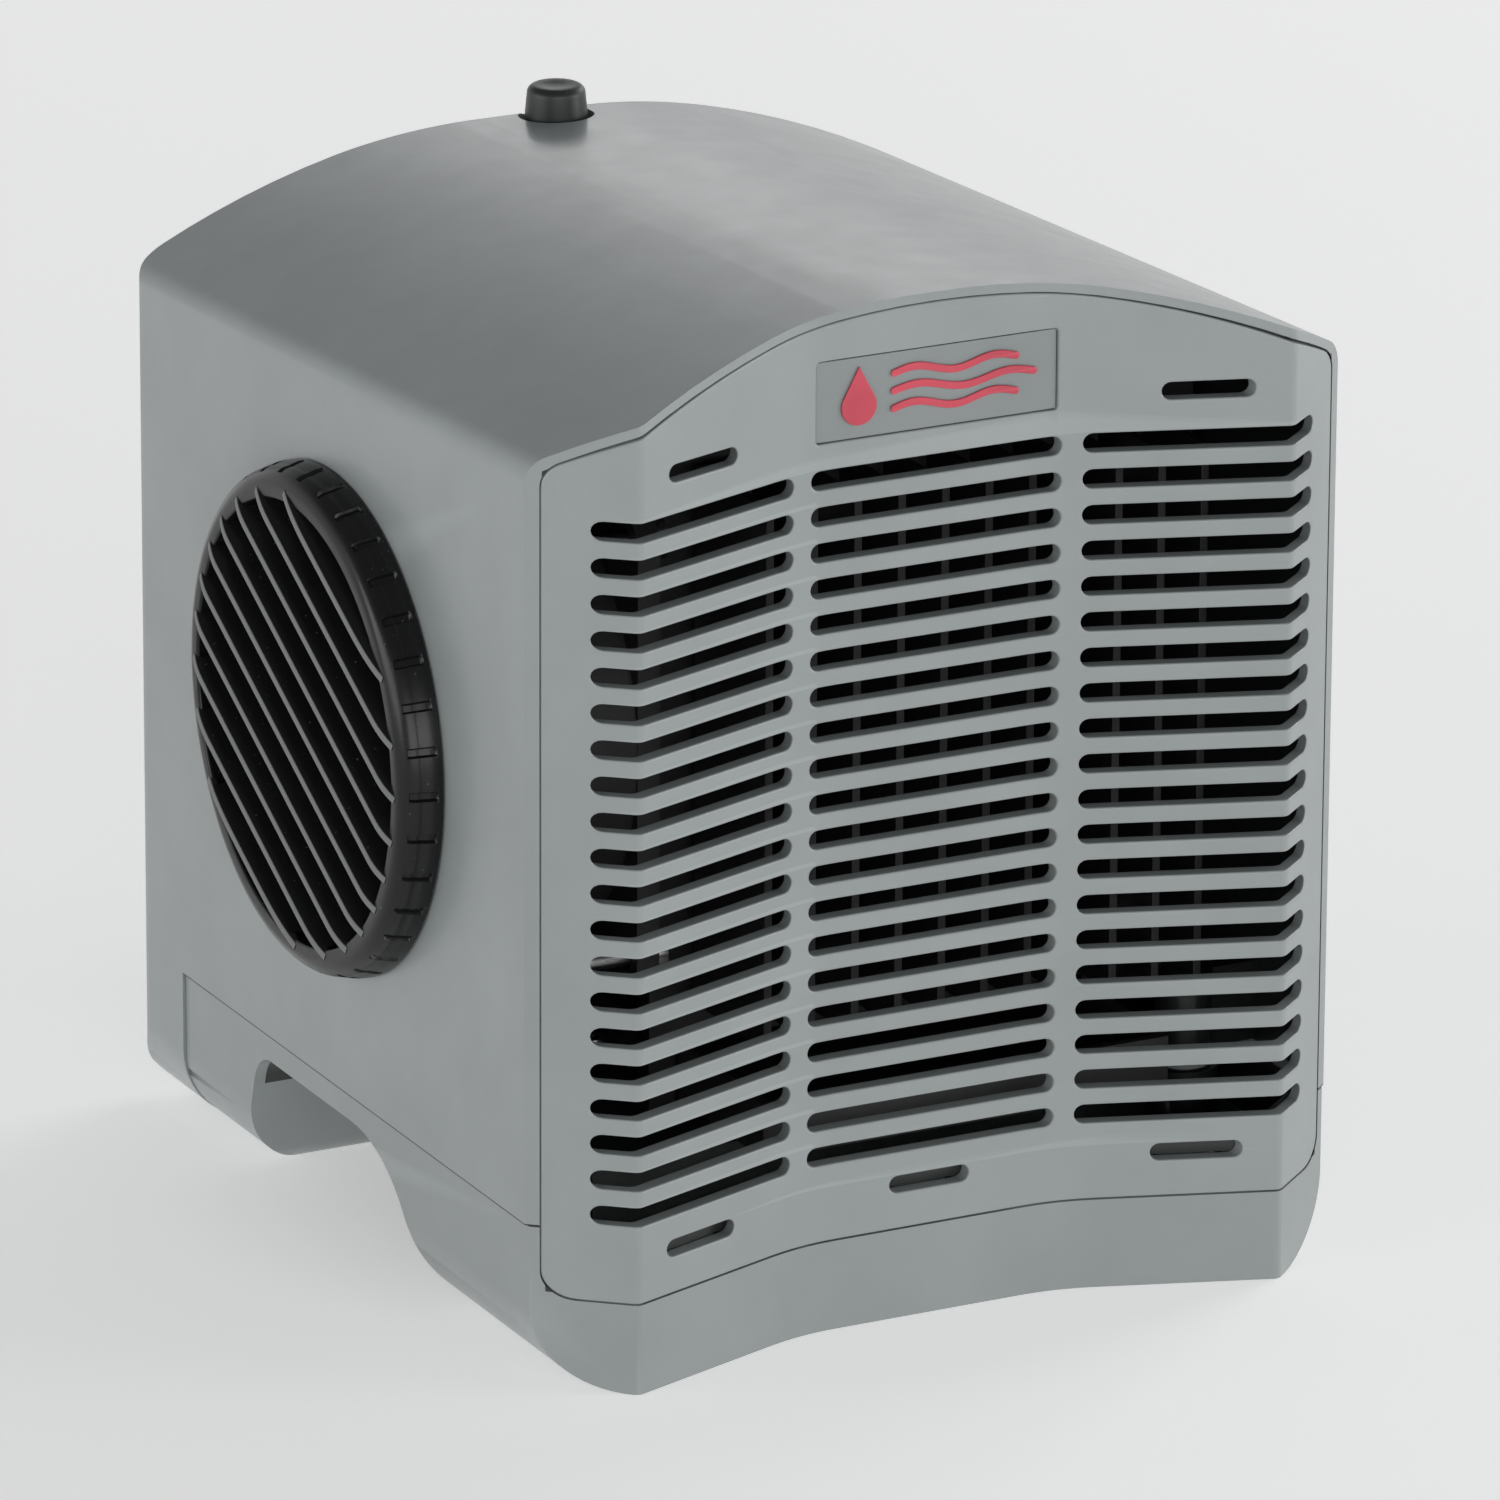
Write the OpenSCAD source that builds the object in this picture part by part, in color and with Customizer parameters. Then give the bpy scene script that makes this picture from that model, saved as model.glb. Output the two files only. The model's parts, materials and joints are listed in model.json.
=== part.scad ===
// Thermoelectric heat pump unit: a moulded hood on an arched base, a slotted front
// panel, a round louvre that turns in the left wall, and a press button on the top.
// X runs to the right, Y to the rear, Z up, in millimetres.

/* [Body] */
// Width over the hood
body_w = 127; // [110:1:155]
// Depth from the panel's side edges to the rear face
body_d = 133.2; // [124:0.2:160]
// Height of the roof's crown at its front edge
crown_h = 151; // [134:1:182]
// Radius of the arched roof
arch_r = 131.7; // [110:1:180]
// Fall of the roof towards the rear, in degrees
roof_fall = 3.47; // [0:0.1:5]
// Wall of the hood and the base
wall = 2.4; // [2:0.1:3]
// Radius where the roof meets the side walls
eaves_r = 4.5; // [3:0.5:7]
// Radius of the rear upright edges
rear_r = 6; // [3:0.5:7]
// Radius of the rear top edge
rear_top_r = 3.5; // [1.5:0.1:4]
// Radius along the bottom of each side
side_foot_r = 12; // [8:0.5:14]
// Radius along the bottom of the rear
rear_foot_r = 9.5; // [6:0.5:12]

/* [Base] */
// Height of the parting line between base and hood
split_h = 23.9; // [22:0.1:28]
// Depth of the hood's rear part, which reaches the floor
heel_d = 17.6; // [15:0.1:20]
// How far the base's sides stand back from the hood's
base_inset = 0.45; // [0.2:0.05:0.8]
// Gap along the parting line
seam = 0.15; // [0.1:0.05:0.3]
// Height of the tunnel under the base
tunnel_h = 19.9; // [16:0.1:20]
// Floor length of the front foot, from the panel's side edges
front_foot_d = 28.9; // [26:0.1:32]
// Radius of the front foot's rear edge
foot_toe_r = 9; // [6:0.5:10]
// Radius of the hollow above the front foot
foot_hollow_r = 22; // [18:0.5:24]
// Slope of the front foot, in degrees
foot_slope = 56; // [50:1:60]
// Radius of the hollow above the rear foot
heel_hollow_r = 6; // [4:0.5:8]
// Radius of the rear foot's front edge
heel_toe_r = 3.5; // [3:0.1:5]
// Slope of the rear foot, in degrees
heel_slope = 75; // [65:1:80]
// Length of the rear foot on the floor, to the base's rear end
heel_foot_d = 17; // [14:0.5:20]

/* [Front panel] */
// Thickness of the panel, front to rear
panel_t = 2.5; // [2:0.1:3]
// Width of the rim beside the panel
rim_side = 1.65; // [1.4:0.05:2]
// Width of the rim above the panel
rim_top = 1.3; // [1.1:0.05:1.8]
// Gap around the panel
panel_gap = 0.2; // [0.15:0.05:0.4]
// Height of the panel's lower edge
panel_z = 13.3; // [11:0.1:16]
// Corner radius of the panel
panel_r = 4; // [3:0.5:5]
// Width of each outer bevelled face
cheek_w = 10.98; // [9:0.1:13]
// How far the ridges stand out in front of the side edges
ridge_out = 9.11; // [7:0.1:11]
// Half width of the flat middle face
mid_half = 20.36; // [18:0.1:23]
// How far the middle face stands back behind the side edges
mid_back = 1.44; // [0.5:0.1:2.5]

/* [Grille] */
// Distance between slot rows
slot_pitch = 5.245; // [5:0.005:6]
// Height of a slot
slot_h = 2.75; // [2.2:0.05:3]
// Height of the lowest row above the panel's lower edge
slot_rise = 13.05; // [12:0.05:15]
// Least distance of the top row below the eaves
slot_top = 8.5; // [8:0.1:12]
// Width of the bars between the slot columns
bar_w = 3.05; // [2.6:0.05:4]
// How far the side slots run past the ridges
slot_wrap = 5.4; // [3:0.1:6]
// Length of the snap slots
snap_l = 12.6; // [10:0.1:14]
// Height of the snap slots
snap_h = 2.5; // [2:0.1:3]
// Height of the lower snap slots above the panel's lower edge
snap_rise = 6.8; // [6:0.1:8]
// Distance of the outer snap slots from the ridges
snap_in = 11.5; // [10:0.1:13]

/* [Badge] */
// Width of the badge
badge_w = 37.7; // [30:0.1:39]
// Height of the badge
badge_h = 11.8; // [8:0.1:12.5]
// Distance of the badge below the crown
badge_drop = 7.9; // [7:0.1:9]
// Depth of the badge's recess
badge_t = 0.5; // [0.3:0.05:0.8]

/* [Louvre] */
// Radius of the louvre's rim at the wall
louvre_r = 37.1; // [30:0.1:45]
// How much smaller the rim's flat front is than its foot
rim_taper = 3.5; // [2.5:0.1:4.5]
// How far the louvre stands out of the wall
louvre_out = 7; // [5:0.1:9]
// How far the rim stands out of the wall
rim_out = 6.2; // [4.5:0.1:8]
// Distance of the louvre's centre behind the panel's side edges
louvre_y = 63.6; // [60:0.1:68]
// Distance between vanes
vane_pitch = 6.33; // [5.5:0.01:7.5]
// Thickness of a vane
vane_t = 1; // [0.8:0.1:1.4]
// Slope of the vanes across the face, in degrees
vane_slope = 29.2; // [15:0.1:45]
// Number of finger notches in the rim
notch_n = 36; // [24:1:48]
// Radial clearance of the louvre's spigot in the wall
louvre_fit = 0.08; // [0.05:0.01:0.1]

/* [Button] */
// Radius of the button's cap
button_r = 4.6; // [3.8:0.1:5.6]
// Gap around the cap
button_gap = 1; // [0.4:0.1:1.2]
// How far the cap stands above the roof
button_out = 4.4; // [3:0.1:5]
// Wall left between the button's hole and the rear face
button_wall = 0.7; // [0.7:0.1:3]
// Travel of the button
button_travel = 2.5; // [1.5:0.1:3]

/* [Fan] */
// Side of the square fan
fan_size = 70; // [58:1:84]
// Depth of the fan
fan_d = 25; // [20:1:25]
// Distance of the fan's screws from its sides
fan_hole_in = 4.25; // [3.5:0.05:6]
// Distance of the fan's duct from its sides
fan_duct_in = 1.4; // [1.3:0.1:3]
// Radius of the fan's hub
hub_r = 17; // [14:0.5:18]
// Number of blades
blade_n = 7; // [5:1:11]

/* [Heat pump stack] */
// Width of the cold sink
cold_w = 70; // [60:1:72]
// Height of both sinks
sink_h = 80; // [66:1:84]
// Width of the hot sink
hot_w = 80; // [66:1:82]
// Length of the cold fins
cold_fin_l = 18; // [12:1:20]
// Length of the hot fins
hot_fin_l = 30; // [20:1:34]
// Thickness of the cold sink's plate
cold_plate_t = 4; // [3:0.5:6]
// Thickness of the hot sink's plate
hot_plate_t = 5; // [3:0.5:6]
// Side of the thermoelectric module
module_w = 40; // [30:1:42]
// Thickness of the thermoelectric module
module_t = 3.8; // [3.2:0.1:4.8]
// Thickness of each thermal pad
pad_t = 0.3; // [0.2:0.1:0.6]
// Gap between the two sinks' plates
stack_gap = 10; // [8:0.5:12]
// Clear distance between the panel's back and the cold fins
cold_clear = 8; // [6:0.5:12]

/* [Drain] */
// Outer radius of the drain spigot
spigot_r = 4; // [3:0.1:5]
// Bore radius of the drain spigot
spigot_bore_r = 2.6; // [2:0.1:3]
// How far the spigot reaches below the tunnel's roof
spigot_l = 9; // [7:0.5:12]

/* [Rear fittings] */
// Radius of the cable gland's thread
gland_r = 6; // [5:0.1:7]
// Bore radius of the cable gland
gland_bore_r = 3.2; // [2.5:0.1:4]
// How far the gland stands out of the rear face
gland_out = 6; // [5:0.5:10]
// Radius of the mounting holes in the rear face
mount_hole_r = 2.2; // [1.6:0.1:2.6]
// Distance between mounting holes, side to side
mount_w = 90; // [80:1:98]
// Distance between mounting holes, up and down
mount_h = 75; // [60:1:85]
// Height of the lower mounting holes
mount_z = 36; // [30:1:44]
// Width of the control board
board_w = 70; // [60:1:74]
// Height of the control board
board_h = 52; // [44:1:56]

/* [Hidden] */
$fn = 64;
fine = 240;
eps = 0.01;
far = 400;

// Driving positions worked out from the sizes above
half = body_w / 2;
louvre_front_r = louvre_r - rim_taper;
fan_hole_pitch = fan_size - 2 * fan_hole_in;
fan_bore_r = fan_size / 2 - fan_duct_in;
inner_half = half - wall;
base_half = half - base_inset;
rear_in = body_d - wall;
arch_z = crown_h - arch_r;
opening_half = half - rim_side;
cheek_slope = ridge_out / cheek_w;
ridge_x = opening_half - cheek_w;
heel_y = body_d - heel_d;
eaves_z = arch_z + sqrt(arch_r * arch_r - half * half);
side_mid_z = (split_h + eaves_z) / 2;
gland_y = body_d + gland_out;
front_y = -ridge_out;

// The object's origin is the middle of its box, at the floor
origin_x = louvre_out / 2;
origin_y = -(front_y + gland_y) / 2;

// Height of the roof's crown and of its underside at a place
function roof_z(x, y) = arch_z + sqrt(arch_r * arch_r - x * x) - (y - mid_back) * tan(roof_fall);
// Front face of the unit at a distance from its middle
function face_y(x) =
    abs(x) <= mid_half ? mid_back
    : abs(x) <= ridge_x ? mid_back
        - (abs(x) - mid_half) * (mid_back + ridge_out) / (ridge_x - mid_half)
    : -ridge_out + (abs(x) - ridge_x) * cheek_slope;
// Points along an arc
function arc(c, r, a0, a1, n = 10) =
    [for (i = [0 : n]) let (a = a0 + (a1 - a0) * i / n) c + r * [cos(a), sin(a)]];

// ---- Shared shapes ----

// Moves a piece from the body's working place to the object's origin
module placed() { translate([origin_x, origin_y, 0]) children(); }

// Extrudes an X-Z outline from y0 to y1
module along_y(y0, y1) {
    translate([0, y1, 0]) rotate([90, 0, 0]) linear_extrude(y1 - y0) children();
}

// Extrudes a Y-Z outline from x0 to x1
module along_x(x0, x1) {
    translate([x0, 0, 0]) rotate([90, 0, 90]) linear_extrude(x1 - x0) children();
}

// Turns an axial shape to lie along X through the louvre's centre
module on_fan_axis(x) {
    translate([x, louvre_y, side_mid_z]) rotate([0, 90, 0]) children();
}

// Places copies at the four corners of a rectangle in the X-Y plane
module corners(w, h) {
    for (sx = [-1, 1], sy = [-1, 1]) translate([sx * w / 2, sy * h / 2, 0]) children();
}

// A block given by its two far corners
module block(a, b) { translate(a) cube(b - a); }

// X-Z outline of the roof and walls, with rounded eaves
module roof_outline(hw, r, round_r) {
    cx = hw - round_r;
    cz = arch_z + sqrt((r - round_r) * (r - round_r) - cx * cx);
    u = [cx, cz - arch_z] / (r - round_r);
    difference() {
        intersection() {
            translate([0, arch_z]) circle(r, $fn = fine);
            translate([-hw, -far / 2]) square([2 * hw, far]);
        }
        for (s = [0, 1]) mirror([s, 0])
            polygon([
                [cx, cz], [hw + 5, cz], [hw + 5, cz + round_r + 10],
                [cx, cz] + (round_r + 5) * u
            ]);
    }
    for (s = [-1, 1]) translate([s * cx, cz]) circle(round_r);
}

// The roof's outline carried back along its fall
module roof_prism(hw, r, round_r) {
    translate([0, mid_back, crown_h]) rotate([-roof_fall, 0, 0])
        translate([0, -mid_back, -crown_h])
            along_y(-far / 4, far) roof_outline(hw, r, round_r);
}

// X-Z outline open upwards, with rounded lower corners
module tub_outline(hw, z, r) {
    translate([-hw, z + r]) square([2 * hw, far]);
    translate([-hw + r, z]) square([2 * (hw - r), far]);
    for (s = [-1, 1]) translate([s * (hw - r), z + r]) circle(r);
}

// Plan of the front faces, moved back by d, filled to the rear line y1
module plan_outline(hw, d, y1, r) {
    edge = face_y(hw) + d;
    ridge = -ridge_out + d;
    mid = mid_back + d;
    polygon([
        [-hw, edge], [-ridge_x, ridge], [-mid_half, mid], [mid_half, mid],
        [ridge_x, ridge], [hw, edge], [hw, y1 - r], [hw - r, y1 - r],
        [hw - r, y1], [-hw + r, y1], [-hw + r, y1 - r], [-hw, y1 - r]
    ]);
    if (r > 0) for (s = [-1, 1]) translate([s * (hw - r), y1 - r]) circle(r);
}

// Y-Z outline of the hood, with its rear edges rounded
module side_outline(y1, z0, r_top, r_foot) {
    top = roof_z(0, y1);
    polygon(concat(
        [[-far / 4, z0], [y1 - r_foot, z0]],
        arc([y1 - r_foot, z0 + r_foot], r_foot, -90, 0),
        arc([y1 - r_top, top - r_top], r_top, 0, 90 - roof_fall),
        [[-far / 4, top + (y1 + far / 4) * tan(roof_fall)]]
    ));
}

// Y-Z outline of the tunnel, grown outwards by t
module tunnel_outline(t) {
    heel_front = heel_y - heel_foot_d;
    toe = [front_foot_d, foot_toe_r];
    rise = tunnel_h - foot_hollow_r;
    up = [cos(90 - foot_slope), sin(90 - foot_slope)];
    // The two hollows' centres follow from the slopes that join them to the feet
    toe_end = toe + foot_toe_r * [cos(foot_slope - 90), sin(foot_slope - 90)];
    hollow_end_z = rise + foot_hollow_r * cos(foot_slope);
    run = (hollow_end_z - toe_end[1]) / tan(foot_slope);
    hollow = [toe_end[0] + run + foot_hollow_r * sin(foot_slope), rise];
    heel = [heel_front, heel_toe_r];
    heel_end = heel + heel_toe_r * [-cos(90 - heel_slope), -sin(90 - heel_slope)];
    rear_z = tunnel_h - heel_hollow_r;
    rear_end_z = rear_z + heel_hollow_r * cos(heel_slope);
    rear_run = (rear_end_z - heel_end[1]) / tan(heel_slope);
    rear = [heel_end[0] - rear_run - heel_hollow_r * sin(heel_slope), rear_z];
    polygon(concat(
        [[toe[0], -10]],
        arc(toe, foot_toe_r - t, -90, foot_slope - 90),
        arc(hollow, foot_hollow_r + t, 90 + foot_slope, 90),
        arc(rear, heel_hollow_r + t, 90, 90 - heel_slope),
        arc(heel, heel_toe_r - t, 270 - heel_slope, 270),
        [[heel[0], -10]]
    ));
}

// A straight slot with round ends, between two places, drawn in X-Z
module slot(x0, x1, z, h) {
    translate([x0 + h / 2, z - h / 2]) square([x1 - x0 - h, h]);
    for (x = [x0 + h / 2, x1 - h / 2]) translate([x, z]) circle(h / 2, $fn = 24);
}

// A round ring along +Z
module ring(r_out, r_in, h) {
    difference() {
        cylinder(r = r_out, h = h);
        translate([0, 0, -1]) cylinder(r = r_in, h = h + 2);
    }
}

// A screw with a round head, seated at z = 0, its shank going down
module screw(head_r, head_h, shank_r, shank_l) {
    difference() {
        union() {
            cylinder(r = head_r, h = head_h);
            translate([0, 0, -shank_l]) cylinder(r = shank_r, h = shank_l + eps);
        }
        translate([0, 0, head_h * 0.45]) cylinder(r = head_r * 0.5, h = head_h, $fn = 6);
    }
}

// Direction of a route at one of its points, and a side line carried along it
function unit(v) = v / norm(v);
function heading(p, i) =
    i == 0 ? unit(p[1] - p[0])
    : i == len(p) - 1 ? unit(p[i] - p[i - 1])
    : unit(unit(p[i] - p[i - 1]) + unit(p[i + 1] - p[i]));
function side_line(p, i) =
    let (t = heading(p, i), s = i == 0 ? cross(t, [0.3, 0.5, 0.8]) : side_line(p, i - 1))
    unit(s - (s * t) * t);
// A route with its corners cut
function rounded(p) = concat(
    [p[0]],
    [for (i = [0 : len(p) - 2]) each [0.8 * p[i] + 0.2 * p[i + 1], 0.2 * p[i] + 0.8 * p[i + 1]]],
    [p[len(p) - 1]]
);

// A wire of radius r that follows a route
module wire(p, r, sides = 8) {
    n = len(p);
    points = [
        for (i = [0 : n - 1])
            let (t = heading(p, i), u = side_line(p, i), v = cross(t, u))
            for (k = [0 : sides - 1])
                p[i] + r * (cos(k * 360 / sides) * u + sin(k * 360 / sides) * v)
    ];
    walls = [
        for (i = [0 : n - 2], k = [0 : sides - 1])
            let (j = (k + 1) % sides)
            [i * sides + k, (i + 1) * sides + k, (i + 1) * sides + j, i * sides + j]
    ];
    caps = [
        [for (k = [0 : sides - 1]) k],
        [for (k = [sides - 1 : -1 : 0]) (n - 1) * sides + k]
    ];
    polyhedron(points, concat(walls, caps), convexity = 6);
}

// A lead with rounded bends
module lead(points, r) { wire(rounded(rounded(points)), r); }

// ---- Housing ----

base_screw_x = inner_half - 11;
base_screw_y = [19, heel_y - 9];
boss_r = 4.2;
screw_shank_r = 1.6;
screw_hole_r = 1.65;
screw_seat_z = 10;
base_top = split_h - seam;
hood_boss_top = split_h + 14;
louvre_bore_r = louvre_front_r;
collar_l = 3.5;
fan_x = -inner_half + 7;
fan_end = fan_x + fan_d;
button_x = 2.8;
button_y = body_d - button_wall - button_gap - button_r;
button_seat_z = roof_z(button_x, button_y);
gland_x = mount_w / 2 - 17;
gland_z = split_h + 12;
board_y = rear_in - 9;
board_t = 1.6;
board_x = -8;
board_z0 = split_h + 22;
board_hole_w = board_w - 8;
board_hole_h = board_h - 8;
snap_x = ridge_x - snap_in;
snap_top_z = slot_z_top() + 7.1;
snap_low_z = panel_z + snap_rise;
hook_w = 8;
hook_t = 1.2;
hook_rise = snap_h / 2 + hook_t / 2 + 0.2;
hook_low_z = snap_low_z - hook_rise;
hook_top_z = snap_top_z + hook_rise;

// Rows of slots that fit between the panel's lower edge and the eaves
function slot_z0() = panel_z + slot_rise;
function slot_rows() = 1 + floor((eaves_z - slot_top - slot_z0()) / slot_pitch);
function slot_z_top() = slot_z0() + (slot_rows() - 1) * slot_pitch;

module panel_shape(gap, d0, d1) {
    intersection() {
        roof_prism(opening_half - gap, arch_r - rim_top - gap, panel_r);
        along_y(-far / 4, far) tub_outline(opening_half - gap, panel_z + gap, panel_r);
        difference() {
            linear_extrude(far) plan_outline(opening_half + 1, d0, far, 0);
            translate([0, 0, -1]) linear_extrude(far + 2)
                plan_outline(opening_half + 2, d1, far + 1, 0);
        }
    }
}

module fan_bosses() {
    on_fan_axis(-inner_half - eps) corners(fan_hole_pitch, fan_hole_pitch)
        cylinder(r = 3.6, h = fan_x + inner_half + eps);
}

module hood() {
    color([0.54, 0.57, 0.56]) placed() difference() {
        union() {
            difference() {
                intersection() {
                    roof_prism(half, arch_r, eaves_r);
                    along_y(-far / 4, far) tub_outline(half, 0, side_foot_r);
                    along_x(-far / 2, far / 2)
                        side_outline(body_d, 0, rear_top_r, rear_foot_r);
                    linear_extrude(far) plan_outline(half, 0, body_d, rear_r);
                }
                intersection() {
                    roof_prism(inner_half, arch_r - wall, eaves_r - wall);
                    along_y(-far / 4, far) tub_outline(inner_half, wall, side_foot_r - wall);
                    linear_extrude(far) plan_outline(inner_half, -5, rear_in, rear_r - wall);
                }
                block([-far, -far / 4, -1], [far, heel_y, split_h]);
            }
            // Screw bosses on webs from the side walls
            for (s = [-1, 1], y = base_screw_y) {
                translate([s * base_screw_x, y, split_h])
                    cylinder(r = boss_r, h = hood_boss_top - split_h);
                translate([s * (base_screw_x + inner_half + eps) / 2, y,
                    (split_h + hood_boss_top) / 2])
                    cube([inner_half - base_screw_x + 2 * eps, 2.4,
                        hood_boss_top - split_h], center = true);
            }
            fan_bosses();
            // Guide collar for the louvre's spigot
            on_fan_axis(-inner_half - eps) cylinder(r = louvre_bore_r + 2, h = collar_l);
            // Catches for the panel's upper hooks
            for (s = [-1, 1])
                block([s * snap_x - hook_w / 2 - 1, face_y(snap_x) + panel_t + 3,
                    hook_top_z + hook_t / 2 + 0.3],
                    [s * snap_x + hook_w / 2 + 1, face_y(snap_x) + panel_t + 5,
                    roof_z(snap_x + hook_w / 2, 0) - wall / 2]);
            // Board posts on the rear wall
            translate([board_x, rear_in + eps, board_z0 + board_h / 2]) rotate([90, 0, 0])
                corners(board_hole_w, board_hole_h)
                    cylinder(r = 3, h = rear_in - board_y - board_t + eps);
            // Pads behind the mounting holes
            translate([0, rear_in + eps, mount_z + mount_h / 2]) rotate([90, 0, 0])
                corners(mount_w, mount_h) cylinder(r = mount_hole_r + 2.4, h = 4);
            // Sleeve around the button
            intersection() {
                translate([button_x, button_y, button_seat_z - 9])
                    cylinder(r = button_r + button_gap + 1.4, h = 7.5);
                block([-20, 0, 0], [20, rear_in + eps, far]);
            }
        }
        panel_shape(0, -5, panel_t);
        on_fan_axis(-half - 1) cylinder(r = louvre_bore_r, h = wall + collar_l + 2);
        for (s = [-1, 1], y = base_screw_y)
            translate([s * base_screw_x, y, split_h - 1]) cylinder(r = screw_hole_r, h = 13);
        on_fan_axis(-inner_half + 0.8) corners(fan_hole_pitch, fan_hole_pitch)
            cylinder(r = 1.45, h = 10);
        translate([button_x, button_y, button_seat_z - 15])
            cylinder(r = button_r + button_gap, h = 30);
        translate([gland_x, body_d + 1, gland_z]) rotate([90, 0, 0])
            cylinder(r = gland_r + 0.1, h = wall + 2);
        translate([board_x, rear_in - 1.4, board_z0 + board_h / 2]) rotate([90, 0, 0])
            corners(board_hole_w, board_hole_h) cylinder(r = 1.25, h = 12);
        translate([0, body_d + 1, mount_z + mount_h / 2]) rotate([90, 0, 0])
            corners(mount_w, mount_h) cylinder(r = mount_hole_r, h = wall + 6);
    }
}

module base() {
    tray_hole = [stack_x, drain_y];
    color([0.53, 0.56, 0.55]) placed() difference() {
        union() {
            difference() {
                intersection() {
                    along_y(-far / 4, far) tub_outline(base_half, 0, side_foot_r - base_inset);
                    linear_extrude(base_top) plan_outline(base_half, 0, heel_y - seam, 0);
                }
                difference() {
                    intersection() {
                        along_y(-far / 4, far)
                            tub_outline(base_half - wall, wall, side_foot_r - wall);
                        linear_extrude(far)
                            plan_outline(base_half - wall, panel_t + wall,
                                heel_y - seam - wall, 0);
                    }
                    along_x(-far / 2, far / 2) tunnel_outline(wall);
                }
            }
            for (s = [-1, 1], y = base_screw_y)
                translate([s * base_screw_x, y, wall / 2])
                    cylinder(r = boss_r + 1, h = base_top - wall / 2);
        }
        along_x(-far / 2, far / 2) tunnel_outline(0);
        panel_shape(0, -5, panel_t);
        for (s = [-1, 1], y = base_screw_y) translate([s * base_screw_x, y, -1]) {
            cylinder(r = 3.5, h = screw_seat_z + 1);
            cylinder(r = screw_hole_r, h = far);
        }
        // Windows for the panel's lower hooks
        for (x = [-snap_x, 0, snap_x])
            block([x - hook_w / 2 - 0.8, face_y(x) - 2, hook_low_z - hook_t / 2 - 1.6],
                [x + hook_w / 2 + 0.8, face_y(x) + panel_t + wall + 4,
                hook_low_z + hook_t / 2 + 0.3]);
        translate(tray_hole) cylinder(r = spigot_r + 0.15, h = far);
        for (f = baffle_feet) translate([(f[0] + f[1]) / 2, baffle_screw_y, 0])
            cylinder(r = baffle_screw_r + 0.02, h = far);
    }
}

// One hook: a finger behind the panel with a barb to one side
module hook(x, z, up) {
    y0 = face_y(x) + panel_t - 1;
    reach = face_y(x) + panel_t + (up > 0 ? 5.2 : wall + 2.6);
    block([x - hook_w / 2, y0, z - hook_t / 2], [x + hook_w / 2, reach + 1.6, z + hook_t / 2]);
    translate([x - hook_w / 2, 0, z]) rotate([90, 0, 90]) linear_extrude(hook_w)
        polygon([[reach, 0], [reach, up * (hook_t / 2 + 1.1)], [reach + 1.6, up * 0.2],
            [reach + 1.6, 0]]);
}

module front_panel() {
    color([0.56, 0.59, 0.58]) placed() difference() {
        union() {
            panel_shape(panel_gap, 0, panel_t);
            for (s = [-1, 1]) hook(s * snap_x, hook_top_z, 1);
            for (x = [-snap_x, 0, snap_x]) hook(x, hook_low_z, -1);
        }
        along_y(-far / 4, far / 8) {
            for (i = [0 : slot_rows() - 1]) {
                z = slot_z0() + i * slot_pitch;
                slot(-mid_half + 0.8, mid_half - 0.8, z, slot_h);
                for (s = [0, 1]) mirror([s, 0])
                    slot(mid_half - 0.8 + bar_w, ridge_x + slot_wrap, z, slot_h);
            }
        }
        along_y(-far / 4, far / 8) {
            for (s = [-1, 1]) snap_slot(s * snap_x, snap_top_z);
            for (x = [-snap_x, 0, snap_x]) snap_slot(x, snap_low_z);
        }
        block([-badge_w / 2, mid_back - 2, badge_z0],
            [badge_w / 2, mid_back + badge_t, badge_z0 + badge_h]);
    }
}

// The slot in front of a hook, open through the panel
module snap_slot(x, z) { slot(x - snap_l / 2, x + snap_l / 2, z, snap_h); }

badge_z0 = crown_h - badge_drop - badge_h;
badge_face = mid_back + badge_t * 0.4;

module badge_plate() {
    fit = 0.1;
    color([0.47, 0.5, 0.49]) placed()
        block([-badge_w / 2 + fit, badge_face, badge_z0 + fit],
            [badge_w / 2 - fit, mid_back + badge_t, badge_z0 + badge_h - fit]);
}

// A drop with three streams of air beside it
module badge_mark() {
    zc = badge_z0 + badge_h / 2;
    drop_x = -badge_w * 0.32;
    drop_r = badge_h * 0.24;
    bar_h = badge_h * 0.1;
    color([0.75, 0.2, 0.3]) placed() along_y(badge_face - 0.35, badge_face) {
        translate([drop_x, zc - drop_r * 0.4]) circle(drop_r);
        polygon([
            [drop_x - drop_r * 0.87, zc + drop_r * 0.1],
            [drop_x + drop_r * 0.87, zc + drop_r * 0.1],
            [drop_x, zc + drop_r * 1.6]
        ]);
        for (i = [-1 : 1])
            slot(drop_x + drop_r * 2, badge_w * (0.4 - 0.08 * abs(i)),
                zc + i * badge_h * 0.24, bar_h);
    }
}

module base_screws() {
    color([0.7, 0.7, 0.72]) placed()
        for (s = [-1, 1], y = base_screw_y)
            translate([s * base_screw_x, y, screw_seat_z]) rotate([180, 0, 0])
                screw(3.2, 2.4, screw_shank_r, split_h + 11 - screw_seat_z);
}

// ---- Louvre ----

spigot_out_r = louvre_bore_r - louvre_fit;
spigot_in_r = spigot_out_r - 1.3;
wall_gap = 0.3;
lip_r = 3;
crown_r = spigot_in_r - 5.4;
crown_edge_r = 14;
vane_n = ceil(spigot_in_r / vane_pitch);
vane_shift = 0.4;

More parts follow.
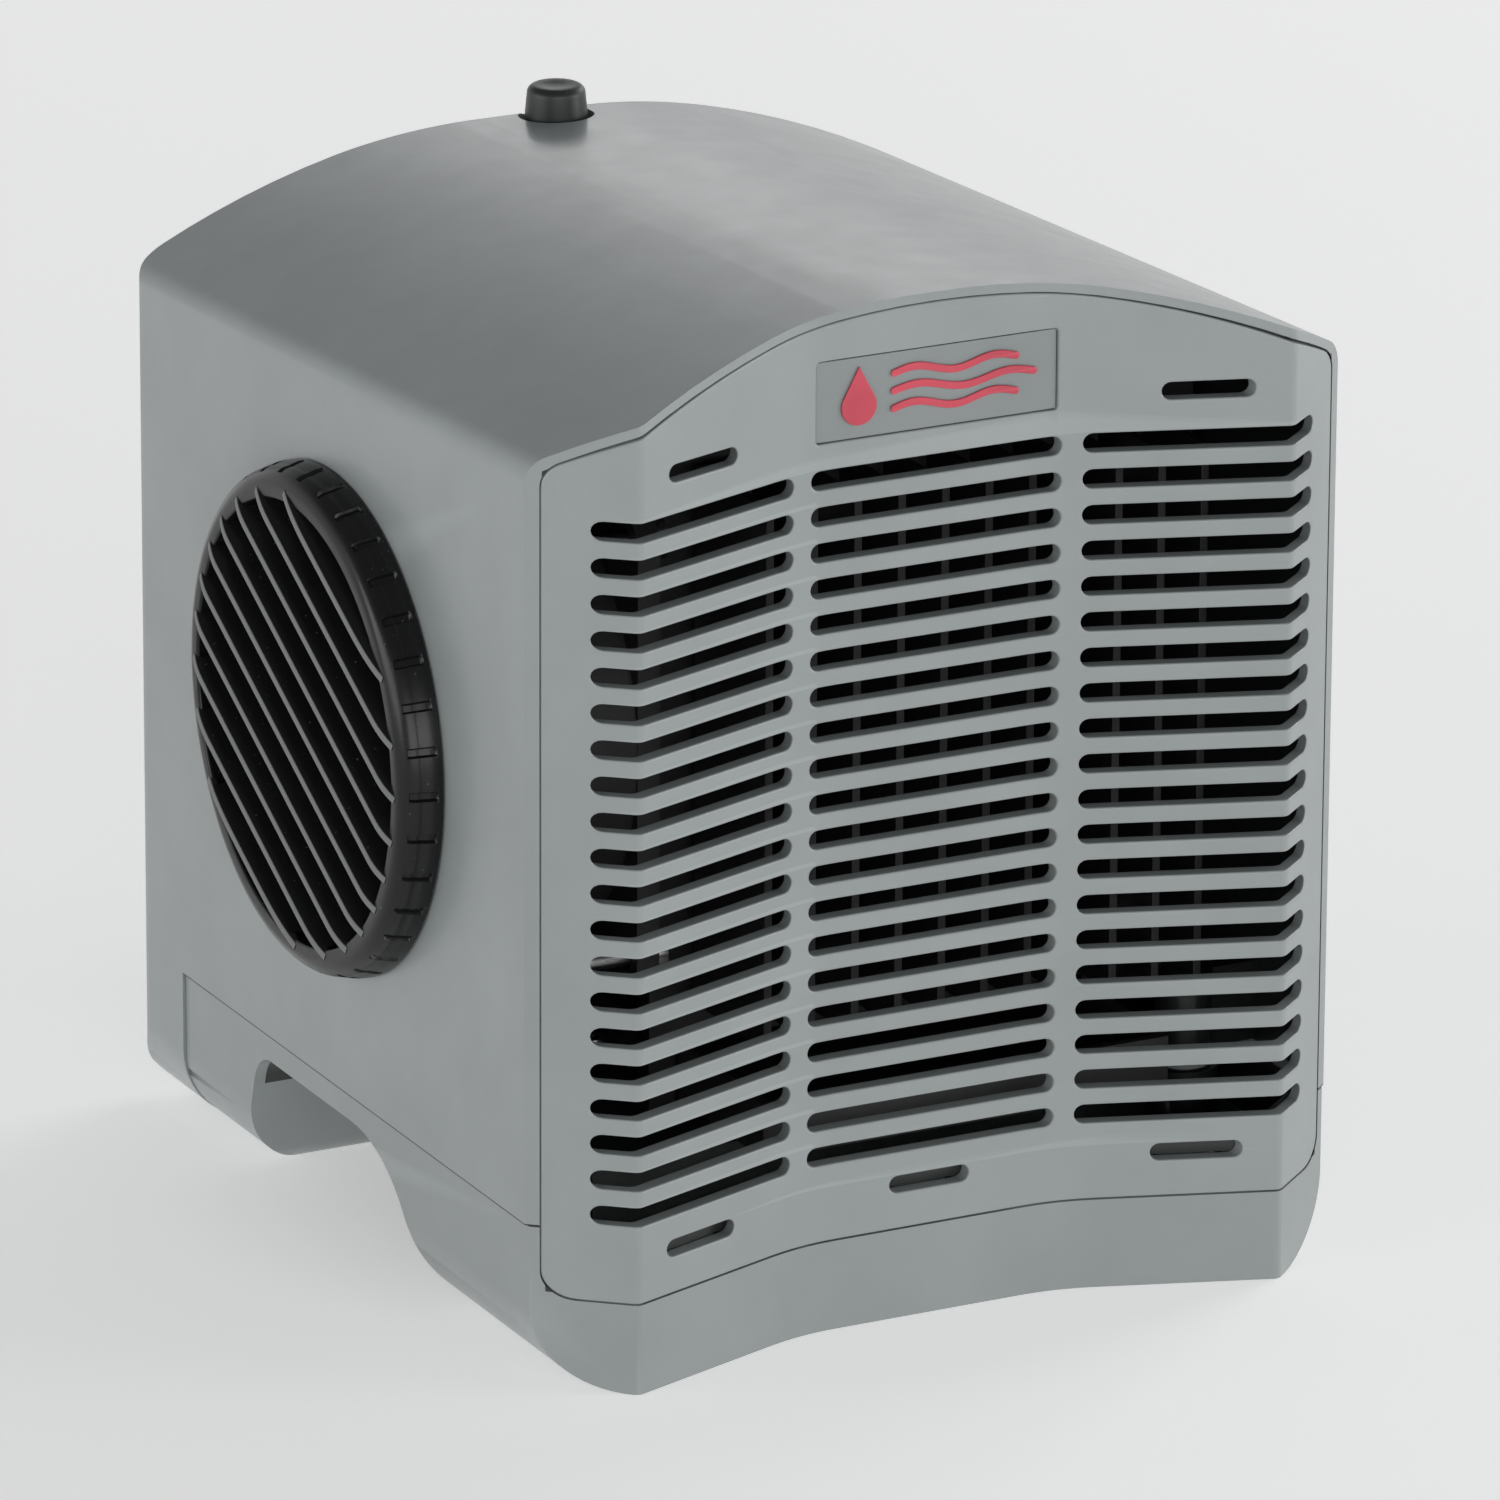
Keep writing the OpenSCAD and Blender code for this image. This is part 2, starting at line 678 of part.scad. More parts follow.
// Half profile of the louvre's rim: radius against height above the wall's face
module rim_profile() {
    polygon(concat(
        [[spigot_in_r, -wall - collar_l - 0.4], [spigot_out_r, -wall - collar_l - 0.4],
            [spigot_out_r, wall_gap], [louvre_r, wall_gap], [louvre_r, 1]],
        arc([louvre_front_r, rim_out - lip_r], lip_r, 0, 90, 8),
        arc([spigot_in_r + 0.4, rim_out - 0.4], 0.4, 90, 180, 4)
    ));
}

// Half profile of the space that the vanes fill, crowned a little at its front
module vane_profile() {
    reach = spigot_in_r + 0.2;
    polygon(concat(
        [[0, -wall - collar_l + 0.6], [reach, -wall - collar_l + 0.6]],
        arc([crown_r, louvre_out - crown_edge_r], crown_edge_r,
            acos((reach - crown_r) / crown_edge_r), 90, 8),
        [[0, louvre_out]]
    ));
}

module louvre() {
    notch_w = 1;
    color([0.1, 0.1, 0.1]) placed()
        translate([-half, louvre_y, side_mid_z]) rotate([0, -90, 0]) {
            difference() {
                rotate_extrude($fn = fine) rim_profile();
                for (i = [0 : notch_n - 1]) rotate(i * 360 / notch_n)
                    translate([louvre_front_r + lip_r - 0.45, -notch_w / 2, 1.2])
                        cube([3, notch_w, 3.4]);
            }
            intersection() {
                rotate_extrude($fn = fine) vane_profile();
                rotate(vane_slope - 180)
                    for (k = [-vane_n : vane_n])
                        translate([-far / 8, (k + vane_shift) * vane_pitch, 0])
                        rotate([18, 0, 0]) translate([0, -vane_t / 2, -far / 16])
                            cube([far / 4, vane_t, far / 8]);
            }
        }
}

module louvre_clip() {
    t = 1.2;
    color([0.2, 0.2, 0.2]) placed()
        on_fan_axis(-inner_half + collar_l + 0.4) ring(louvre_bore_r + 1.6, spigot_in_r, t);
}

// ---- Fan ----

strut_t = 3.5;
shaft_r = 1.5;
bearing_r = 3.5;
tube_r = 4.6;
fan_hole_r = 2.15;
fan_head_h = 2;

module fan_frame() {
    flange_t = 3.5;
    color([0.12, 0.12, 0.13]) placed() on_fan_axis(fan_x) {
        difference() {
            union() {
                for (z = [0, fan_d - flange_t]) translate([0, 0, z])
                    difference() {
                        translate([0, 0, flange_t / 2])
                            cube([fan_size, fan_size, flange_t], center = true);
                        corners(fan_size, fan_size) translate([0, 0, -1])
                            rotate(45) cube([4, 4, flange_t * 3], center = true);
                    }
                cylinder(r = fan_bore_r + 1.3, h = fan_d);
            }
            translate([0, 0, -1]) cylinder(r = fan_bore_r, h = fan_d + 2);
            translate([0, 0, -1]) corners(fan_hole_pitch, fan_hole_pitch)
                cylinder(r = fan_hole_r, h = fan_d + 2);
        }
        // Motor plate, its four struts and the bearing tube
        translate([0, 0, fan_d - strut_t]) difference() {
            union() {
                cylinder(r = hub_r, h = strut_t);
                for (a = [45 : 90 : 315]) rotate(a)
                    translate([hub_r - 1, -1.6, 0]) cube([fan_bore_r - hub_r + 1.6, 3.2, strut_t]);
            }
            translate([0, 0, -1]) cylinder(r = bearing_r, h = strut_t);
        }
        translate([0, 0, 8]) ring(tube_r, bearing_r, fan_d - strut_t - 8 + eps);
    }
}

module fan_screws() {
    color([0.7, 0.7, 0.72]) placed() on_fan_axis(fan_end)
        corners(fan_hole_pitch, fan_hole_pitch) screw(3.2, fan_head_h, 1.4, fan_d + 5);
}

module fan_coil() {
    color([0.72, 0.42, 0.2]) placed() on_fan_axis(fan_x + 10) {
        ring(7, tube_r + 0.02, 9);
        for (a = [0 : 90 : 270]) rotate(a) {
            translate([6.5, -1.5, 0.5]) cube([5, 3, 8]);
            translate([10.5, -3.5, 0.5]) cube([1.6, 7, 8]);
        }
    }
}

module fan_bearings() {
    color([0.75, 0.75, 0.78]) placed()
        for (z = [8.6, fan_d - strut_t - 3.2])
            on_fan_axis(fan_x + z) ring(bearing_r - 0.02, shaft_r + 0.03, 3);
}

hub_x = 2;
hub_l = 16;

module fan_impeller() {
    tip_r = fan_bore_r - 1.1;
    root_r = hub_r * 0.6;
    color([0.15, 0.15, 0.16]) placed() on_fan_axis(fan_x + hub_x) difference() {
        union() {
            cylinder(r = hub_r, h = hub_l);
            for (i = [0 : blade_n - 1]) rotate(i * 360 / blade_n) intersection() {
                translate([0, 0, 0.2]) cylinder(r = tip_r, h = hub_l - 0.4);
                translate([root_r, 0, hub_l / 2]) rotate([38, 0, 0])
                    translate([0, -15, -0.8]) cube([tip_r, 30, 1.6]);
            }
        }
        translate([0, 0, 1.8]) cylinder(r = hub_r - 1.6, h = hub_l);
        translate([0, 0, -1]) cylinder(r = shaft_r, h = 5);
    }
}

module fan_rotor_cup() {
    r = hub_r - 1.6;
    color([0.5, 0.5, 0.52]) placed() on_fan_axis(fan_x + hub_x + 1.8) difference() {
        cylinder(r = r, h = hub_l - 2.6);
        translate([0, 0, 1]) cylinder(r = r - 1.6, h = hub_l);
        translate([0, 0, -1]) cylinder(r = shaft_r, h = 5);
    }
}

module fan_shaft() {
    color([0.75, 0.75, 0.78]) placed()
        on_fan_axis(fan_x + hub_x) cylinder(r = shaft_r, h = fan_d - strut_t - hub_x - 0.3);
}

// ---- Heat pump stack ----

stack_x = (fan_end + inner_half) / 2 - 2;
cold_y = mid_back + panel_t + cold_clear;
cold_back = cold_y + cold_fin_l + cold_plate_t;
hot_y = cold_back + stack_gap;
fin_t = 1.2;
cold_fin_n = 11;
hot_fin_n = 17;
cold_pitch = (cold_w - fin_t) / (cold_fin_n - 1);
hot_pitch = (hot_w - fin_t) / (hot_fin_n - 1);
clamp_x = 3.5 * cold_pitch;
clamp_z = sink_h / 2 - 6;
clamp_r = 1.5;
frame_w = module_w + 20;
baffle_t = 4;
baffle_y = cold_back + (stack_gap - baffle_t) / 2;
washer_t = 0.8;
screw_into_hot = 3;

// Places a stack piece: X and Z from the stack's axis, Y from front to rear
module at_stack(y) { translate([stack_x, y, side_mid_z]) rotate([-90, 0, 0]) children(); }

module centred(w, h, t) { translate([-w / 2, -h / 2, 0]) cube([w, h, t]); }

module cold_sink() {
    color([0.1, 0.1, 0.11]) placed() difference() {
        at_stack(cold_y) {
            translate([0, 0, cold_fin_l]) centred(cold_w, sink_h, cold_plate_t);
            for (i = [0 : cold_fin_n - 1])
                translate([-cold_w / 2 + i * cold_pitch, -sink_h / 2, 0])
                    cube([fin_t, sink_h, cold_fin_l + eps]);
        }
        at_stack(cold_y) corners(2 * clamp_x, 2 * clamp_z)
            cylinder(r = clamp_r + 0.2, h = far);
    }
}

module hot_sink() {
    color([0.1, 0.1, 0.11]) placed() difference() {
        at_stack(hot_y) {
            centred(hot_w, sink_h, hot_plate_t);
            for (i = [0 : hot_fin_n - 1])
                translate([-hot_w / 2 + i * hot_pitch, -sink_h / 2, hot_plate_t - eps])
                    cube([fin_t, sink_h, hot_fin_l]);
        }
        at_stack(hot_y - 1) corners(2 * clamp_x, 2 * clamp_z)
            cylinder(r = clamp_r + 0.02, h = screw_into_hot + 1.5);
    }
}

spacer_t = stack_gap - module_t - 2 * pad_t;

module spacer_block() {
    color([0.8, 0.8, 0.82]) placed() at_stack(cold_back) centred(module_w, module_w, spacer_t);
}

module thermal_pads() {
    color([0.6, 0.7, 0.8]) placed() {
        at_stack(cold_back + spacer_t) centred(module_w, module_w, pad_t);
        at_stack(hot_y - pad_t) centred(module_w, module_w, pad_t);
    }
}

lead_y = cold_back + spacer_t + pad_t + module_t / 2;
lead_z = side_mid_z - 12;
lead_r = 0.8;

module thermoelectric_module() {
    plate_t = module_t * 0.2;
    pellet = 1.6;
    n = 9;
    step = (module_w - 4) / n;
    color([0.93, 0.93, 0.9]) placed() at_stack(cold_back + spacer_t + pad_t) {
        centred(module_w, module_w, plate_t);
        translate([0, 0, module_t - plate_t]) centred(module_w, module_w, plate_t);
        for (i = [0 : n - 1], j = [0 : n - 1])
            translate([(i - (n - 1) / 2) * step, (j - (n - 1) / 2) * step, plate_t - eps])
                centred(pellet, pellet, module_t - 2 * plate_t + 2 * eps);
    }
}

module insulation_frame() {
    color([0.2, 0.2, 0.2]) placed() difference() {
        at_stack(cold_back) centred(frame_w, frame_w, stack_gap);
        at_stack(cold_back - 1) centred(module_w + 0.4, module_w + 0.4, stack_gap + 2);
        // Way out for the module's leads
        block([stack_x, lead_y - lead_r - 0.3, lead_z - 2.5],
            [stack_x + frame_w, hot_y + 1, lead_z + 2.5]);
    }
}

module clamp_screws() {
    color([0.7, 0.7, 0.72]) placed()
        translate([stack_x, cold_y + cold_fin_l - washer_t, side_mid_z]) rotate([90, 0, 0])
            corners(2 * clamp_x, 2 * clamp_z)
                screw(2.4, 1.8, clamp_r, washer_t + cold_plate_t + stack_gap + screw_into_hot);
}

module clamp_washers() {
    color([0.9, 0.9, 0.88]) placed() at_stack(cold_y + cold_fin_l - washer_t)
        corners(2 * clamp_x, 2 * clamp_z) ring(2.6, clamp_r + 0.05, washer_t);
}

module air_baffle() {
    color([0.12, 0.12, 0.12]) placed() difference() {
        union() {
            block([baffle_x0, baffle_y, baffle_z0 + 0.02],
                [baffle_x1, baffle_y + baffle_t, eaves_z - 12]);
            for (f = baffle_feet)
                block([f[0], baffle_y, baffle_z0 + 0.02],
                    [f[1], baffle_y + baffle_foot, baffle_z0 + baffle_foot_t]);
        }
        for (f = baffle_feet) translate([(f[0] + f[1]) / 2, baffle_screw_y, 0])
            cylinder(r = baffle_screw_r + 0.1, h = far / 4);
        at_stack(baffle_y - 1) centred(frame_w + 0.2, frame_w + 0.2, baffle_t + 2);
        at_stack(baffle_y - 1) corners(2 * clamp_x, 2 * clamp_z)
            cylinder(r = clamp_r + 0.4, h = baffle_t + 2);
        // The drip tray passes under the baffle
        block([tray_x0 - 0.4, baffle_y - 1, 0], [tray_x1 + 0.4, far, tray_top + 0.4]);
    }
}

module baffle_screws() {
    color([0.7, 0.7, 0.72]) placed()
        for (f = baffle_feet)
            translate([(f[0] + f[1]) / 2, baffle_screw_y, baffle_z0 + baffle_foot_t])
                screw(1.8, 1.2, baffle_screw_r, baffle_foot_t + wall - 0.6);
}

// ---- Drain ----

drain_y = louvre_y + 8;
tray_x0 = stack_x - cold_w / 2 - 1;
tray_x1 = base_screw_x - boss_r - 3;
tray_y0 = cold_y - 2;
tray_y1 = drain_y + 9;
seal_t = 1.6;
tray_z = tunnel_h + wall + seal_t;
tray_floor = 1.6;
tray_top = tray_z + 8;
tray_wall = 1.4;
nut_h = 3.6;
hose_r = spigot_r - 0.4;

baffle_foot = 26;
baffle_foot_t = 3;
baffle_foot_w = 9;
baffle_x0 = fan_end + fan_head_h + 0.6;
baffle_x1 = inner_half - 0.9;
baffle_z0 = tunnel_h + wall;
// Feet beside the drip tray, left and right, from and to
baffle_feet = [[baffle_x0, tray_x0 - 0.4], [tray_x1 + 0.4, tray_x1 + 0.4 + baffle_foot_w]];
baffle_screw_y = baffle_y + baffle_foot - 4;
baffle_screw_r = 0.9;

module drip_tray() {
    color([0.85, 0.86, 0.84]) placed() difference() {
        union() {
            block([tray_x0, tray_y0, tray_z], [tray_x1, tray_y1, tray_top]);
            translate([stack_x, drain_y, tunnel_h - nut_h])
                cylinder(r = spigot_r, h = tray_z - tunnel_h + nut_h + eps);
            translate([stack_x, drain_y, tunnel_h - spigot_l])
                cylinder(r = hose_r, h = spigot_l - nut_h + eps);
        }
        block([tray_x0 + tray_wall, tray_y0 + tray_wall, tray_z + tray_floor],
            [tray_x1 - tray_wall, tray_y1 - tray_wall, tray_top + 1]);
        translate([stack_x, drain_y, 0]) cylinder(r = spigot_bore_r, h = tray_top);
    }
}

module drain_seal() {
    color([0.15, 0.15, 0.15]) placed()
        translate([stack_x, drain_y, tunnel_h + wall]) ring(spigot_r + 3, spigot_r + 0.05, seal_t);
}

module drain_nut() {
    color([0.85, 0.86, 0.84]) placed() translate([stack_x, drain_y, tunnel_h - nut_h])
        difference() {
            cylinder(r = spigot_r + 3.2, h = nut_h, $fn = 6);
            translate([0, 0, -1]) cylinder(r = spigot_r + 0.02, h = nut_h + 2);
        }
}

// ---- Electronics ----

module on_board(x, z, y = 0) {
    translate([board_x + x, board_y + y, board_z0 + board_h / 2 + z]) rotate([90, 0, 0])
        children();
}

module control_board() {
    color([0.1, 0.35, 0.2]) placed() difference() {
        on_board(0, 0, board_t) centred(board_w, board_h, board_t);
        on_board(0, 0, board_t + 1) corners(board_hole_w, board_hole_h)
            cylinder(r = 1.4, h = board_t + 2);
    }
}

module board_screws() {
    color([0.7, 0.7, 0.72]) placed() on_board(0, 0)
        corners(board_hole_w, board_hole_h) screw(2.4, 1.6, 1.2, 7);
}

module capacitors() {
    color([0.15, 0.2, 0.35]) placed() for (x = [-22, -11]) on_board(x, 12) {
        cylinder(r = 4, h = 12);
        cylinder(r = 4.3, h = 0.8);
    }
}

module power_inductor() {
    color([0.7, 0.4, 0.2]) placed() on_board(4, 12) ring(6, 2.5, 7);
}

module voltage_regulator() {
    color([0.1, 0.1, 0.1]) placed() on_board(20, 6) centred(10, 15, 4.5);
}

module regulator_sink() {
    color([0.3, 0.3, 0.32]) placed() on_board(20, 6, -4.5) {
        centred(16, 20, 1.6);
        for (x = [-7.2, -3.6, 0, 3.6, 7.2]) translate([x - 0.6, -10, 0]) cube([1.2, 20, 8]);
    }
}

terminal_x = 6;
terminal_row_z = -16;

module terminal_block() {
    pole = 5.08;
    n = 6;
    color([0.15, 0.4, 0.3]) placed() on_board(terminal_x, terminal_row_z) difference() {
        centred(pole * n, 8, 10);
        for (i = [0 : n - 1]) translate([(i - (n - 1) / 2) * pole, 0, 0]) {
            translate([0, 1.8, 7]) cylinder(r = 1.7, h = 4);
            translate([0, -6, 4]) rotate([-90, 0, 0]) cylinder(r = 1.4, h = 6);
        }
    }
}

// Entry point of a terminal's wire, counted from the left
function terminal_at(i) =
    [board_x + terminal_x + (i - 2.5) * 5.08, board_y - 4,
        board_z0 + board_h / 2 + terminal_row_z - 4];

module module_leads() {
    x_out = inner_half - 2.4;
    color([0.7, 0.1, 0.1]) placed() for (i = [0, 1]) {
        z = lead_z + (i - 0.5) * 2.2;
        end = terminal_at(4 + i);
        lead([
            [stack_x + module_w / 2 - 1, lead_y, z], [x_out, lead_y, z],
            [x_out, lead_y + 8, z], [x_out, board_y - 18, z - 4],
            [end[0] + 4, board_y - 11 + i * 2.4, end[2] - 9 + i * 2.2],
            [end[0], end[1], end[2] - 7 + i * 2.2], end + [0, 0, 1]
        ], lead_r);
    }
}

module fan_leads() {
    color([0.15, 0.15, 0.5]) placed() for (i = [0, 1]) {
        end = terminal_at(i);
        z = side_mid_z - 3 + i * 2.2;
        lead([
            [fan_end + lead_r, louvre_y + 10, z], [fan_end + lead_r, board_y - 24 + i * 3, z],
            [end[0], board_y - 10 - i * 2.4, end[2] - 8],
            [end[0], end[1], end[2] - 4], end + [0, 0, 1]
        ], lead_r);
    }
}

module switch_leads() {
    color([0.3, 0.3, 0.3]) placed() for (i = [0, 1]) {
        end = terminal_at(2 + i);
        x = button_x - 2 + i * 4;
        lead([
            [x, button_y - 3, switch_z0 + 1.4], [x, button_y - 3, switch_z0 - 4],
            [x, board_y - 15, switch_z0 - 10],
            [end[0], board_y - 15, end[2] - 4],
            [end[0], end[1], end[2] - 6], end + [0, 0, 1]
        ], lead_r);
    }
}

// ---- Button ----

cap_h = button_out + 4.5;
cap_z0 = button_seat_z + button_out - cap_h;
stem_r = 1.8;
stem_l = 9;
spring_room = 3.5;
switch_top = cap_z0 - button_travel - spring_room;
switch_h = 11;
switch_z0 = switch_top - switch_h;

module switch_body() {
    color([0.12, 0.12, 0.12]) placed() difference() {
        block([button_x - 7, button_y - 7, switch_z0], [button_x + 7, rear_in - 0.02, switch_top]);
        translate([button_x, button_y, switch_z0 + 2]) cylinder(r = stem_r + 0.05, h = far);
        for (x = [-2, 2]) translate([button_x + x, button_y - 3, switch_z0 - 1])
            cylinder(r = lead_r + 0.02, h = 2.5, $fn = 24);
    }
}

// Rounded cap on a stem, one moulding
module button_cap() {
    edge = 1.1;
    taper = 0.25;
    color([0.12, 0.13, 0.13]) placed() translate([button_x, button_y, cap_z0]) {
        rotate_extrude($fn = fine) polygon(concat(
            [[0, 0], [button_r, 0], [button_r, cap_h - button_out]],
            arc([button_r - taper - edge, cap_h - edge], edge, 0, 90, 8),
            [[0, cap_h]]
        ));
        translate([0, 0, -stem_l]) cylinder(r = stem_r, h = stem_l + eps);
    }
}

module button_spring() {
    wire_r = 0.35;
    coil_r = stem_r + 1;
    turns = 5;
    steps = 14;
    l = cap_z0 - switch_top - 2 * wire_r;
    color([0.75, 0.75, 0.78]) placed() translate([button_x, button_y, switch_top + wire_r])
        wire([
            for (i = [0 : turns * steps])
                let (a = i * 360 / steps)
                [coil_r * cos(a), coil_r * sin(a), l * i / (turns * steps)]
        ], wire_r, 6);
}

// ---- Cable gland ----

flange_t = 2.5;
gland_seal_t = 1;

module at_gland(y) { translate([gland_x, y, gland_z]) rotate([-90, 0, 0]) children(); }

module cable_gland() {
    color([0.14, 0.14, 0.14]) placed() difference() {
        union() {
            at_gland(body_d + gland_seal_t) cylinder(r = gland_r + 2.6, h = flange_t, $fn = 6);
            at_gland(body_d + gland_seal_t + flange_t - eps)
                cylinder(r = gland_r + 0.6, h = gland_out - gland_seal_t - flange_t + eps);
            at_gland(rear_in - 6) cylinder(r = gland_r, h = 6 + wall + gland_seal_t + eps);
        }
        at_gland(rear_in - 7) cylinder(r = gland_bore_r, h = far / 4);
    }
}

module gland_seal() {
    color([0.25, 0.25, 0.25]) placed() at_gland(body_d)
        ring(gland_r + 2, gland_r + 0.02, gland_seal_t);
}

module gland_nut() {
    color([0.14, 0.14, 0.14]) placed() at_gland(rear_in - 4) difference() {
        cylinder(r = gland_r + 3, h = 4, $fn = 6);
        translate([0, 0, -1]) cylinder(r = gland_r + 0.02, h = 6);
    }
}

hood();
base();
front_panel();
badge_plate();
badge_mark();
base_screws();
louvre();
louvre_clip();
fan_frame();
fan_screws();
fan_coil();
fan_bearings();
fan_impeller();
fan_rotor_cup();
fan_shaft();
air_baffle();
baffle_screws();
cold_sink();
hot_sink();
spacer_block();
thermoelectric_module();
thermal_pads();
insulation_frame();
clamp_screws();
clamp_washers();
drip_tray();
drain_seal();
drain_nut();
control_board();
board_screws();
capacitors();
power_inductor();
voltage_regulator();
regulator_sink();
terminal_block();
module_leads();
fan_leads();
switch_leads();
switch_body();
button_cap();
button_spring();
cable_gland();
gland_seal();
gland_nut();
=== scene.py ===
# Looks of a compact thermoelectric heat pump unit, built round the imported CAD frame.
# Lengths are in metres in the CAD's frame: +Z up, the slotted front faces -Y.
import json
import math

import bmesh
import bpy
from mathutils import Matrix, Vector


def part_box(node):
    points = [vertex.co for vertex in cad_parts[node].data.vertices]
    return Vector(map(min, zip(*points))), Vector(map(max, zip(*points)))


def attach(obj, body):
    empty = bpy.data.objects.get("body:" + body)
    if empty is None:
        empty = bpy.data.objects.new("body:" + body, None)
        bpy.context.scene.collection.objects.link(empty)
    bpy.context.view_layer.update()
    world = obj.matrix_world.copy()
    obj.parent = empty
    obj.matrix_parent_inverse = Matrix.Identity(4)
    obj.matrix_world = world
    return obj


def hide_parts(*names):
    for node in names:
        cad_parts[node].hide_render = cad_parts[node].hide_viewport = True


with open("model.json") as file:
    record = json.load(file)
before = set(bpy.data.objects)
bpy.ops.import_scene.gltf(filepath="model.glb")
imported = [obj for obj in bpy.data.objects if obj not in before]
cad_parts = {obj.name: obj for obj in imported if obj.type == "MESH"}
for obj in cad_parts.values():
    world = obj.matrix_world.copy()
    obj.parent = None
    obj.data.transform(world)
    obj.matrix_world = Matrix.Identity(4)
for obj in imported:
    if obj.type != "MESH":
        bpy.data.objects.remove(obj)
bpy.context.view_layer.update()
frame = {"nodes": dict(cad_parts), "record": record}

MM = 0.001

# ---- Sizes and places, from the frame's own boxes ----

HOOD_LO, HOOD_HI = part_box("hood")
LOUVRE_LO, LOUVRE_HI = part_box("louvre")
CAP_LO, CAP_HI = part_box("button_cap")
BADGE_LO, BADGE_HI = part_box("badge_plate")

MID_X = (HOOD_LO[0] + HOOD_HI[0]) / 2
HALF = (HOOD_HI[0] - HOOD_LO[0]) / 2
REAR_Y = HOOD_HI[1]

# Front faces, as the design names them
RIM_SIDE = 1.65 * MM
RIM_TOP = 1.3 * MM
PANEL_GAP = 0.2 * MM
PANEL_T = 2.5 * MM
PANEL_Z = 13.3 * MM
PANEL_R = 4.0 * MM
CHEEK_W = 10.98 * MM
RIDGE_OUT = 9.11 * MM
MID_HALF = 20.36 * MM
MID_BACK = 1.44 * MM
OPENING_HALF = HALF - RIM_SIDE
RIDGE_X = OPENING_HALF - CHEEK_W
SIDE_Y = HOOD_LO[1] + RIDGE_OUT

# Roof
ARCH_R = 131.7 * MM
ROOF_FALL = math.radians(3.47)
CROWN_Z = 151.0 * MM
ARCH_Z = CROWN_Z - ARCH_R
SPLIT_Z = 23.9 * MM
HEEL_Y = REAR_Y - 17.6 * MM

# Grille
SLOT_PITCH = 5.245 * MM
SLOT_H = 2.75 * MM
SLOT_ROWS = 20
SLOT_Z0 = PANEL_Z + 13.05 * MM
BAR_W = 3.05 * MM
SLOT_WRAP = 5.4 * MM
SNAP_L = 12.6 * MM
SNAP_H = 2.5 * MM
SNAP_X = RIDGE_X - 11.5 * MM
SNAP_LOW_Z = PANEL_Z + 6.8 * MM
SNAP_TOP_Z = SLOT_Z0 + (SLOT_ROWS - 1) * SLOT_PITCH + 7.1 * MM

# Louvre
LOUVRE_Y = (LOUVRE_LO[1] + LOUVRE_HI[1]) / 2
LOUVRE_Z = (LOUVRE_LO[2] + LOUVRE_HI[2]) / 2
LOUVRE_R = (LOUVRE_HI[1] - LOUVRE_LO[1]) / 2
LOUVRE_OUT = HOOD_LO[0] - LOUVRE_LO[0]
LOUVRE_FRONT_R = 33.6 * MM
RIM_OUT = 6.2 * MM
RIM_LIP_R = 3.0 * MM
CROWN_FLAT_IN = 4.4 * MM
CROWN_BEND_R = 14 * MM
VANE_PITCH = 6.33 * MM
VANE_T = 1.3 * MM
VANE_NOSE = 0.22 * MM
VANE_FIRST = -2.6 * MM
VANE_SLOPE = math.radians(29.2)
VANE_TILT = math.radians(18)
NOTCH_N = 36
NOTCH_LOW = 1.0 * MM
NOTCH_TOP = 5.0 * MM
NOTCH_DEEP = 0.55 * MM

# Fine roundings and fits
SHELL_EDGE = 0.35 * MM
PANEL_EDGE = 0.28 * MM
BADGE_EDGE = 0.12 * MM
MARK_EDGE = 0.14 * MM
BADGE_FIT = 0.12 * MM
BADGE_CORNER = 0.5 * MM
SEAM_HALF = 0.2 * MM
WELD_DIST = 2e-6
CUT_DIST = 1e-7


# ---- Camera ----

CAMERA_PLACE = (-0.8096, -1.6050, 0.6819)
CAMERA_AZIMUTH = math.radians(-26.97)
CAMERA_ELEVATION = math.radians(18.94)
CAMERA_ROLL = math.radians(0.29)
CAMERA_LENS = 317.0
CAMERA_SENSOR = 36.0


def add_camera():
    azimuth, elevation, roll = CAMERA_AZIMUTH, CAMERA_ELEVATION, CAMERA_ROLL
    back = Vector((
        math.sin(azimuth) * math.cos(elevation),
        -math.cos(azimuth) * math.cos(elevation),
        math.sin(elevation),
    ))
    right = Vector((math.cos(azimuth), math.sin(azimuth), 0))
    up = back.cross(right)
    turned = math.cos(roll) * right + math.sin(roll) * up
    upright = -math.sin(roll) * right + math.cos(roll) * up
    data = bpy.data.cameras.new("camera")
    data.lens = CAMERA_LENS
    data.sensor_width = CAMERA_SENSOR
    data.clip_end = 20
    cam = bpy.data.objects.new("camera", data)
    axes = Matrix((turned, upright, back)).transposed().to_4x4()
    cam.matrix_world = Matrix.Translation(CAMERA_PLACE) @ axes
    bpy.context.scene.collection.objects.link(cam)
    bpy.context.scene.camera = cam


add_camera()


# ---- Materials ----

def shader(name):
    """A material with its Principled shader and a helper that adds nodes."""
    mat = bpy.data.materials.new(name)
    mat.use_nodes = True
    tree = mat.node_tree
    bsdf = tree.nodes["Principled BSDF"]

    def node(kind, **values):
        made = tree.nodes.new(kind)
        for key, value in values.items():
            if key in made.inputs:
                made.inputs[key].default_value = value
            else:
                setattr(made, key, value)
        return made

    return mat, tree, bsdf, node


def coordinates(tree, node):
    return node("ShaderNodeTexCoord").outputs["Object"]


def noise(tree, node, where, scale, detail=3.0, roughness=0.55):
    made = node("ShaderNodeTexNoise")
    made.inputs["Scale"].default_value = scale
    made.inputs["Detail"].default_value = detail
    made.inputs["Roughness"].default_value = roughness
    tree.links.new(where, made.inputs["Vector"])
    return made.outputs["Fac"]


